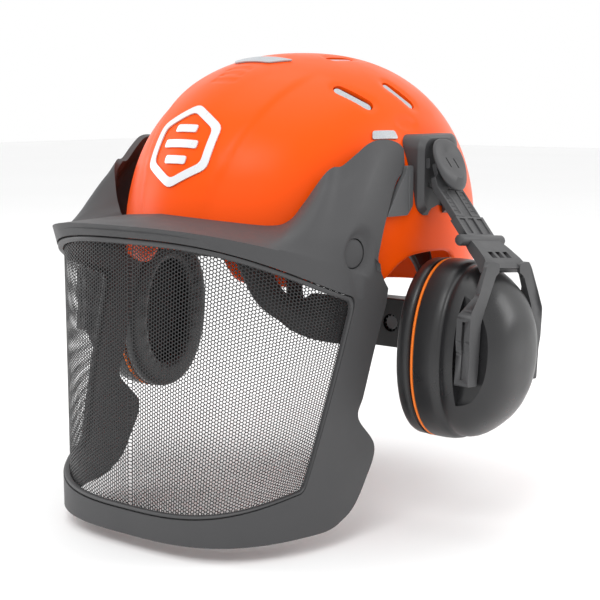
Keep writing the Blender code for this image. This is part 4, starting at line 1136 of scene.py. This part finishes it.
    def yoke(self):
        """Slide, cross bar and two legs with the pins that hold the cup."""
        item = self.made("yoke", leaning_bar(0.0225, 0.0390, 0.0155, -0.0042, 0.0003), "muff")
        tools = [self.join(leaning_bar(0.0018, 0.0300, 0.0039, -0.0036, -0.0004))]
        tools.append(self.tool(leaning_bar(0.0235, 0.0355, 0.0034, -0.0006, 0.004)))
        for y in (-0.0098, 0.0098):
            tools.append(self.tool(leaning_bar(0.0240, 0.0350, 0.0030, -0.0004, 0.004, y)))
        loops = [[lean(0.0370, out, y) for y, out in ((-0.0155, -0.0040), (0.0155, -0.0040), (0.0155, 0.0),
                                                      (-0.0155, 0.0))]]
        for x, z, half in ((0.0385, -0.0490, 0.0185), (0.0452, -0.0545, 0.0210), (0.0500, -0.0600, 0.0240)):
            loops.append([Vector((x - 0.0030, -half, z - 0.0022)), Vector((x - 0.0030, half, z - 0.0022)),
                          Vector((x + 0.0022, half, z + 0.0010)), Vector((x + 0.0022, -half, z + 0.0010))])
        tools.append(self.join(loft(loops)))
        for way in (-1, 1):
            edge = ((0.0120, -0.0565), (0.0225, -0.0552), (0.0268, -0.0592), (0.0350, -0.0745),
                    (0.0414, -0.0838), (0.0420, -0.0870), (0.0420, -0.1010), (0.0405, -0.1080),
                    (0.0405, -0.1270), (0.0305, -0.1270), (0.0300, -0.1180), (0.0300, -0.0910),
                    (0.0270, -0.0820), (0.0165, -0.0640), (0.0120, -0.0618))
            outline = cornered([(way * y, z) for y, z in edge], 0.0015)

            def inner(y, z):
                shoulder, foot = smooth_step((-z - 0.055) / 0.006), smooth_step((-z - 0.078) / 0.010)
                return 0.0490 + 0.0020 * shoulder - 0.0065 * foot

            def outer(y, z):
                shoulder, foot = smooth_step((-z - 0.060) / 0.010), smooth_step((-z - 0.081) / 0.006)
                return 0.0528 + 0.0012 * shoulder - 0.0005 * foot

            tools.append(self.join(extrude(outline, inner, outer)))
            y_low, y_high = sorted((way * 0.0450, way * 0.0395))
            tools.append(self.tool(box(0.0482, 0.0502, y_low, y_high, -0.1230, -0.0900)))
            pin, sides = disc(PIN_RADIUS, 0.0090, 32)
            pin = along(pin, TILT_PIVOT + Vector((0, way * 0.0231, 0)), (0, way, 0))
            tools.append(self.join((pin, sides)))
        for y in (-0.0085, 0.0, 0.0085):
            tools.append(self.tool(box(0.030, 0.050, y - 0.0026, y + 0.0026, -0.0535, -0.0502)))
        settle(item, f"muff_yoke_{self.word}", [f"muff_yoke_{self.word}"], rounding=0.0005,
               tools=tools, angle=40)
        cross, sides = turned(((0.0016, 0.0), (0.0028, 0.0006), (0.0034, 0.0018), (0.0034, 0.0482),
                               (0.0028, 0.0494), (0.0016, 0.0500)), 32)
        cross = along(cross, lean(0.0387, -0.0018, -0.0250), (0, 1, 0))
        settle(self.made("yoke_cross_bar", (cross, sides), "muff"), f"muff_yoke_{self.word}")

    def cup(self):
        """Cup shell with leg pockets, edge ring, cushion and lining."""
        word = self.word
        profile = ((-0.0007, 0.975, 0.980), (-0.0003, 1.002, 1.002), (0.0010, 1.012, 1.006),
                   (0.0060, 1.020, 1.006), (0.0110, 1.022, 1.000), (0.0142, 1.012, 0.988),
                   (0.0152, 0.985, 0.968), (0.0162, 0.968, 0.955), (0.0176, 0.968, 0.952),
                   (0.0190, 0.985, 0.958), (0.0210, 0.992, 0.956), (0.0240, 0.990, 0.942),
                   (0.0275, 0.980, 0.912), (0.0315, 0.957, 0.865), (0.0355, 0.918, 0.805),
                   (0.0395, 0.858, 0.738), (0.0425, 0.795, 0.668), (0.0455, 0.700, 0.570),
                   (0.0480, 0.585, 0.465), (0.0496, 0.450, 0.350), (0.0504, 0.280, 0.210),
                   (0.0506, 0.080, 0.060))
        loops = [oval(CUP_HALF[0] * ky, CUP_HALF[1] * kz, CUP_FACE + 0.0010 + x) for x, ky, kz in profile]
        item = self.made("cup_shell", loft(loops), "cup")
        tools = [self.tool(loft([oval(half_y, half_z, x) for half_y, half_z, x in
                                 ((0.0340, 0.0495, CUP_FACE - 0.002), (0.0330, 0.0480, 0.0300),
                                  (0.0230, 0.0430, 0.0375), (0.0205, 0.0340, 0.0500))]))]
        for way in (-1, 1):
            pocket = rounded(0.0288, 0.060, -0.1410, -0.0715, 0.0055)
            tools.append(self.tool(extrude([(way * y, z) for y, z in pocket], 0.0408, 0.0900)))
            bar, sides = disc(PIN_RADIUS + 0.0003, 0.0100, 32)
            bar = along(bar, TILT_PIVOT + Vector((0, way * 0.0225, 0)), (0, way, 0))
            tools.append(self.tool((bar, sides)))
        settle(item, f"ear_cup_{word}", [f"cup_{word}"], rounding=0.0007, tools=tools,
               angle=42, segments=3)
        band = [oval(CUP_HALF[0] - a, CUP_HALF[1] - a, x) for a, x in
                ((0.0006, 0.0119), (-0.0001, 0.0123), (-0.0003, 0.0130), (0.0002, 0.0136),
                 (0.010, 0.0138), (0.010, 0.0117))]
        settle(self.made("cup_edge_ring", ring(band), "ring"), f"ear_cup_{word}",
               [f"cup_ring_{word}"], sharp=50)
        self.cushion()
        pad = [oval(0.030 * k, 0.0455 * k, x) for k, x in
               ((0.97, 0.0270), (1.0, 0.0262), (1.0, 0.0180), (0.97, 0.0172), (0.7, 0.0168), (0.3, 0.0167))]
        foam = settle(self.made("cup_lining", loft(pad), "foam"), f"ear_cup_{word}",
                      [f"cup_foam_{word}"])

    def cushion(self):
        """Soft ring with a rounded face, a seam at its outer foot and slight folds on its inner side."""
        count = 120
        loops = []
        steps = 26
        for k in range(steps):
            a = 2 * pi * k / steps
            width, depth = 0.0088, 0.0056
            inset = 0.0088 - width * signed_power(cos(a), 0.62)
            x = 0.0060 - depth * signed_power(sin(a), 0.62)
            loop = oval(CUP_HALF[0] - inset, CUP_HALF[1] - inset, x, count)
            if 0.2 < a < 2.9:
                for i, point in enumerate(loop):
                    turn = 2 * pi * i / count
                    fold = 0.00022 * sin(23 * turn + 1.3 * sin(3 * turn)) * sin(a)
                    point.x += fold * smooth_step((inset - 0.004) / 0.006) - abs(fold) * 0.2
            loops.append(loop)
        item = settle(self.made("ear_cushion", ring(loops), "cushion"), f"ear_cup_{self.word}",
                      [f"cushion_{self.word}"], sharp=None)
        seam = [oval(CUP_HALF[0] - 0.0001 + 0.0004 * cos(a), CUP_HALF[1] - 0.0001 + 0.0004 * cos(a),
                     0.0101 + 0.0004 * sin(a), count) for a in spread(0, 2 * pi, 7)[:-1]]
        settle(self.made("cushion_seam", ring(seam), "cushion"), f"ear_cup_{self.word}",
               sharp=None)


# ---------------------------------------------------------------- harness
def band_point(turn, grow, share, lift=0.0):
    """Point of the headband: turn round the head, share of its half height, lift beyond it."""
    y = BAND_CENTRE_Y + (BAND_HALF[1] + grow) * sin(turn)
    middle = BAND_CENTRE_Y + BAND_HALF[1] * sin(turn)
    up = from_table(BAND_HALF_HEIGHT, middle) * share + lift
    return Vector(((BAND_HALF[0] + grow) * cos(turn), y, from_table(BAND_RISE, middle) + up))


def band_strip(name, start, end, near, far, kind, count, nodes, crown=0.0):
    """A strip of the headband between two turns, slightly crowned."""
    loops = []
    section = [(near, -0.93), (near + 0.0003, -1.0), (far - 0.0003, -1.0), (far, -0.93), (far + crown, 0.0),
               (far, 0.93), (far - 0.0003, 1.0), (near + 0.0003, 1.0), (near, 0.93), (near - crown, 0.0)]
    for turn in spread(start, end, count):
        loops.append([band_point(radians(turn), grow, share) for grow, share in section])
    return settle(solid(name, *loft(loops), kind), "helmet", nodes, sharp=50)


def strap_centre(strap, rise):
    """Middle of a crown strap at this rise, with the strap's heading there."""
    first, last, lift = strap[1:4]
    blend = min(1.0, max(0.0, (rise - 60.0) / 60.0))
    turn = radians(first + (last - first) * blend)
    heading = Vector((cos(turn), sin(turn), 0))
    centre = on_dome(heading * cos(radians(rise)) + Vector((0, 0, sin(radians(rise)))), -0.0085)
    centre.z *= lift / (SHELL_HALF.z - 0.0085)
    return centre, heading


def build_hanger(top, word):
    """The clip from a strap end down to the headband."""
    heading = Vector((top.x, top.y, 0)).normalized()
    foot = heading * ((heading.x / BAND_HALF[0]) ** 2 + (heading.y / BAND_HALF[1]) ** 2) ** -0.5
    out = Vector((foot.x / BAND_HALF[0] ** 2, foot.y / BAND_HALF[1] ** 2, 0)).normalized()
    across = Vector((-out.y, out.x, 0)) * 0.0068
    foot += out * 0.0031 + Vector((0, BAND_CENTRE_Y, 0))
    foot.z = from_table(BAND_RISE, foot.y) + (0.009 if foot.y > 0.03 else -0.010)
    thick = out * 0.0013
    middle = top.lerp(foot, 0.35) - thick * 0.8
    loops = []
    for k in range(13):
        t = k / 12
        p = top.lerp(middle, t * 2.0) if t < 0.5 else middle.lerp(foot, t * 2.0 - 1.0)
        wide = 1.0 - 0.22 * sin(pi * t)
        loops.append([p - across * wide - thick, p + across * wide - thick, p + across * wide + thick,
                      p - across * wide + thick])
    item = solid(f"strap_clip_{word}", *loft(loops), "black")
    settle(item, "helmet", [f"strap_hanger_{word}"], rounding=0.0005)


def build_straps():
    """The webbing crown straps, with a clip at each end."""
    width = settings().strap_width / 2
    for strap in STRAPS:
        name, (low, high) = strap[0], strap[4:]
        loops = []
        for rise in spread(low, high, 81):
            centre, heading = strap_centre(strap, rise)
            side = Vector((-heading.y, heading.x, 0)) * width
            normal = Vector((centre.x / 0.096 ** 2, centre.y / 0.124 ** 2, centre.z / 0.085 ** 2))
            normal = normal.normalized() * 0.0006
            row = []
            for share, away in ((-1, -0.5), (-0.86, -1), (0.86, -1), (1, -0.5), (1, 0.5), (0.86, 1),
                                (0.0, 1.15), (-0.86, 1), (-1, 0.5)):
                row.append(centre + side * share + normal * away)
            loops.append(row)
        settle(solid(f"strap_{name}", *loft(loops), "webbing"), "helmet", [f"crown_strap_{name}"],
               sharp=60)
        for rise in (low, high):
            top = strap_centre(strap, rise)[0] - Vector((0, 0, 0.0037))
            where = "front_" if top.y < -0.03 else "rear_" if top.y > 0.03 else "side_"
            build_hanger(top, where + ("left" if top.x > 0 else "right"))


def build_harness():
    """The headband with its beads, the sweatband and the crown pad."""
    band_strip("head_band", -249.0, 69.0, -0.001, 0.001, "black", 181, ["headband"], 0.0002)
    for way, word in ((-1, "lower"), (1, "upper")):
        section = [(0.0010 + 0.0006 * cos(a), 0.0007 * sin(a)) for a in spread(0, 2 * pi, 9)[:-1]]
        loops = [[band_point(radians(t), grow, way * 0.76, lift) for grow, lift in section]
                 for t in spread(-240.0, 60.0, 141)]
        settle(solid(f"band_rib_{word}", *loft(loops), "black"), "helmet", sharp=None)
    sweat = []
    for turn in spread(-150.0, -30.0, 81):
        row = []
        for k in range(18):
            a = 2 * pi * k / 18
            row.append(band_point(radians(turn), -0.0029 + 0.0016 * signed_power(cos(a), 0.6),
                                  0.91 * signed_power(sin(a), 0.7)))
        sweat.append(row)
    item = settle(solid("sweat_band", *loft(sweat), "foam"), "helmet", ["sweatband"], sharp=None)
    build_straps()
    pad = []
    for r, z in ((0.0060, 0.0748), (0.0220, 0.0744), (0.0262, 0.0747), (0.0278, 0.0756), (0.0280, 0.0764),
                 (0.0272, 0.0775), (0.0240, 0.0781), (0.0060, 0.0781)):
        pad.append([Vector((r * cos(2 * pi * i / 64), 0.004 + r * sin(2 * pi * i / 64), z))
                    for i in range(64)])
    item = settle(solid("crown_cushion", *loft(pad), "foam"), "helmet", ["crown_pad"], sharp=None)


def arc_strip(name, start, end, near, far, low, high, kind, body, nodes, teeth):
    """A curved rack with a row of teeth along one edge."""
    loops = []
    steps = 113
    for k, a in enumerate(spread(start, end, steps)):
        tooth = 0.0008 if k % 4 in (1, 2) else 0.0
        lower, upper = (low + tooth, high) if teeth < 0 else (low, high - tooth)
        loops.append([Vector((r * sin(radians(a)), RACK_CENTRE_Y + r * cos(radians(a)), z)) for r, z in
                      ((near, lower), (far, lower), (far, upper), (near, upper))])
    return settle(solid(name, *loft(loops), kind), body, nodes, sharp=30)


def build_adjuster():
    """Housing, racks, pinion and knob at the nape."""
    near, far = RACK_RADIUS - 0.0008, RACK_RADIUS + 0.0008
    arc_strip("rack_strip_left", -12, 44, near, far, KNOB_Z + 0.0066, KNOB_Z + 0.0120, "black", "rack_left",
              ["rack_left"], -1)
    arc_strip("rack_strip_right", -44, 12, near, far, KNOB_Z - 0.0120, KNOB_Z - 0.0066, "black", "rack_right",
              ["rack_right"], 1)
    outline = rounded(-0.027, 0.027, KNOB_Z - 0.018, KNOB_Z + 0.018, 0.0080)
    levels = ((0.97, 0.1010), (1.0, 0.1022), (1.0, 0.1165), (0.96, 0.1180))
    points, faces = loft([[Vector((x * k, y, KNOB_Z + (z - KNOB_Z) * k)) for x, z in outline]
                          for k, y in levels])
    item = solid("adjuster_case", points, faces, "black")
    loops = [[Vector((r * sin(radians(a)), RACK_CENTRE_Y + r * cos(radians(a)), KNOB_Z + z)) for r, z in
              ((RACK_RADIUS - 0.0016, -0.0126), (RACK_RADIUS + 0.0016, -0.0126),
               (RACK_RADIUS + 0.0016, 0.0126), (RACK_RADIUS - 0.0016, 0.0126))] for a in spread(-40, 40, 41)]
    tools = [(solid("rack_slot", *loft(loops), "black"), "DIFFERENCE")]
    for name, radius, start, length in (("pinion_bore", 0.0065, 0.1000, 0.0125),
                                        ("shaft_bore", 0.0033, 0.1120, 0.0100)):
        bar, sides = disc(radius, length)
        tools.append((solid(name, along(bar, (0, start, KNOB_Z), (0, 1, 0)), sides, "black"), "DIFFERENCE"))
    settle(item, "helmet", ["adjuster_housing"], rounding=0.0005, tools=tools, angle=45)
    wheel = []
    for y, toothed in ((-0.0170, True), (-0.0090, True), (-0.0088, False), (-0.0005, False)):
        loop = []
        for i in range(72):
            radius = (0.0060 if i % 6 in (0, 1) else 0.0048) if toothed else 0.0030
            around = 2 * pi * i / 72
            loop.append(Vector((radius * cos(around), KNOB_BACK_Y + y, KNOB_Z + radius * sin(around))))
        wheel.append(loop)
    settle(solid("adjuster_gear", *loft(wheel), "plate"), "adjuster", ["adjuster_pinion"], sharp=30)
    grip = []
    for y, size, cut in ((-0.0001, 0.0158, 0.2), (0.0006, 0.0166, 0.6), (0.0018, 0.0172, 1.0),
                         (0.0080, 0.0172, 1.0), (0.0096, 0.0166, 0.6), (0.0104, 0.0155, 0.1),
                         (0.0106, 0.0120, 0.0), (0.0098, 0.0110, 0.0), (0.0098, 0.0010, 0.0)):
        loop = []
        for i in range(160):
            a = 2 * pi * i / 160
            radius = size - cut * 0.0009 * (0.5 + 0.5 * cos(20 * a)) ** 2
            loop.append(Vector((radius * cos(a), KNOB_BACK_Y + y, KNOB_Z + radius * sin(a))))
        grip.append(loop)
    settle(solid("adjuster_wheel", *loft(grip), "black"), "adjuster", ["adjuster_knob"], sharp=40)


# ---------------------------------------------------------------- studio
def area_light(name, place, target, size, power):
    """A soft rectangular lamp that looks at the target."""
    data = bpy.data.lights.new(name, "AREA")
    data.shape = "RECTANGLE"
    data.size, data.size_y = size
    data.energy = power
    lamp = bpy.data.objects.new(name, data)
    lamp.location = place
    lamp.rotation_euler = (Vector(target) - Vector(place)).to_track_quat("-Z", "Y").to_euler()
    bpy.context.collection.objects.link(lamp)
    return lamp


def build_studio():
    """Pale floor, soft lamps, even white surroundings and the camera."""
    corners = [(x, y, FLOOR_Z) for x, y in ((-6, -6), (6, -6), (6, 6), (-6, 6))]
    floor = solid("floor", corners, [(0, 1, 2, 3)], "floor")
    lights = [area_light("key", (0.5, -1.2, 1.3), (0, 0, 0), (0.8, 0.6), 9.0),
              area_light("left_fill", (-1.4, -0.6, 0.5), (0, 0, -0.03), (0.5, 1.2), 6.0),
              area_light("right_rim", (1.2, 0.9, 0.7), (0.08, 0, 0), (0.5, 1.0), 6.0),
              area_light("top", (0, 0.2, 1.6), (0, 0, 0), (1.2, 1.2), 7.0)]
    world = bpy.data.worlds.new("studio")
    world.use_nodes = True
    world.node_tree.nodes["Background"].inputs["Color"].default_value = (1.0, 1.0, 1.0, 1.0)
    world.node_tree.nodes["Background"].inputs["Strength"].default_value = 1.0
    bpy.context.scene.world = world
    bpy.context.scene.view_settings.view_transform = "Standard"
    data = bpy.data.cameras.new("camera")
    data.lens = CAMERA_LENS
    data.sensor_width = 36.0
    camera = bpy.data.objects.new("camera", data)
    camera.location = CAMERA_PLACE
    aim = CAMERA_TARGET - CAMERA_PLACE
    camera.rotation_euler = aim.to_track_quat("-Z", "Y").to_euler()
    bpy.context.collection.objects.link(camera)
    bpy.context.scene.camera = camera


# ---------------------------------------------------------------- operators
class HelmetOperator:
    """What the helmet's operators share: each runs its own steps in order."""
    bl_options = {"REGISTER", "UNDO"}
    steps = ()

    def execute(self, context):
        for step in self.steps:
            step()
        return {"FINISHED"}


class HELMET_OT_shell(HelmetOperator, bpy.types.Operator):
    """Makes the moulded shell with its vents"""
    bl_idname = "helmet.shell"
    bl_label = "Shell"
    steps = (build_shell,)


class HELMET_OT_badges(HelmetOperator, bpy.types.Operator):
    """Makes the emblem and the reflecting films"""
    bl_idname = "helmet.badges"
    bl_label = "Badges"
    steps = (build_badges,)


class HELMET_OT_visor(HelmetOperator, bpy.types.Operator):
    """Makes the visor frame, its window bead and its fittings"""
    bl_idname = "helmet.visor"
    bl_label = "Visor"
    steps = (build_frame, build_window_trim, build_visor_fittings)


class HELMET_OT_mesh(HelmetOperator, bpy.types.Operator):
    """Makes the wire mesh of the window"""
    bl_idname = "helmet.mesh"
    bl_label = "Wire mesh"
    steps = (build_mesh,)


def build_muffs():
    """Both ear muffs, piece by piece."""
    for side, word in SIDES:
        muff = Muff(side, word)
        for make in (muff.bracket, muff.hub, muff.cover, muff.arm, muff.yoke, muff.cup):
            make()


class HELMET_OT_muffs(HelmetOperator, bpy.types.Operator):
    """Makes both ear muffs with their arms"""
    bl_idname = "helmet.muffs"
    bl_label = "Ear muffs"
    steps = (build_muffs,)


class HELMET_OT_harness(HelmetOperator, bpy.types.Operator):
    """Makes the headband, crown straps and pads"""
    bl_idname = "helmet.harness"
    bl_label = "Harness"
    steps = (build_harness,)


class HELMET_OT_adjuster(HelmetOperator, bpy.types.Operator):
    """Makes the headband's adjuster"""
    bl_idname = "helmet.adjuster"
    bl_label = "Adjuster"
    steps = (build_adjuster,)


class HELMET_OT_studio(HelmetOperator, bpy.types.Operator):
    """Makes the floor, lights and camera"""
    bl_idname = "helmet.studio"
    bl_label = "Studio"
    steps = (build_studio,)


OPERATORS = (HELMET_OT_shell, HELMET_OT_badges, HELMET_OT_visor, HELMET_OT_mesh, HELMET_OT_muffs,
             HELMET_OT_harness, HELMET_OT_adjuster, HELMET_OT_studio)


class HELMET_PT_panel(bpy.types.Panel):
    """Sidebar panel with the settings and the operators."""
    bl_label = "Forestry helmet"
    bl_idname = "HELMET_PT_panel"
    bl_space_type = "VIEW_3D"
    bl_region_type = "UI"
    bl_category = "Helmet"

    def draw(self, context):
        for name in HelmetSettings.__annotations__:
            self.layout.prop(context.scene.helmet_settings, name)
        for operator in OPERATORS:
            self.layout.operator(operator.bl_idname)


CLASSES = (HelmetSettings, *OPERATORS, HELMET_PT_panel)


def register():
    for item in CLASSES:
        bpy.utils.register_class(item)
    bpy.types.Scene.helmet_settings = bpy.props.PointerProperty(type=HelmetSettings)


def unregister():
    del bpy.types.Scene.helmet_settings
    for item in reversed(CLASSES):
        bpy.utils.unregister_class(item)


def main():
    register()
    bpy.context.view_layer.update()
    for operator in OPERATORS:
        group, name = operator.bl_idname.split(".")
        getattr(getattr(bpy.ops, group), name)()


if __name__ == "__main__":
    main()
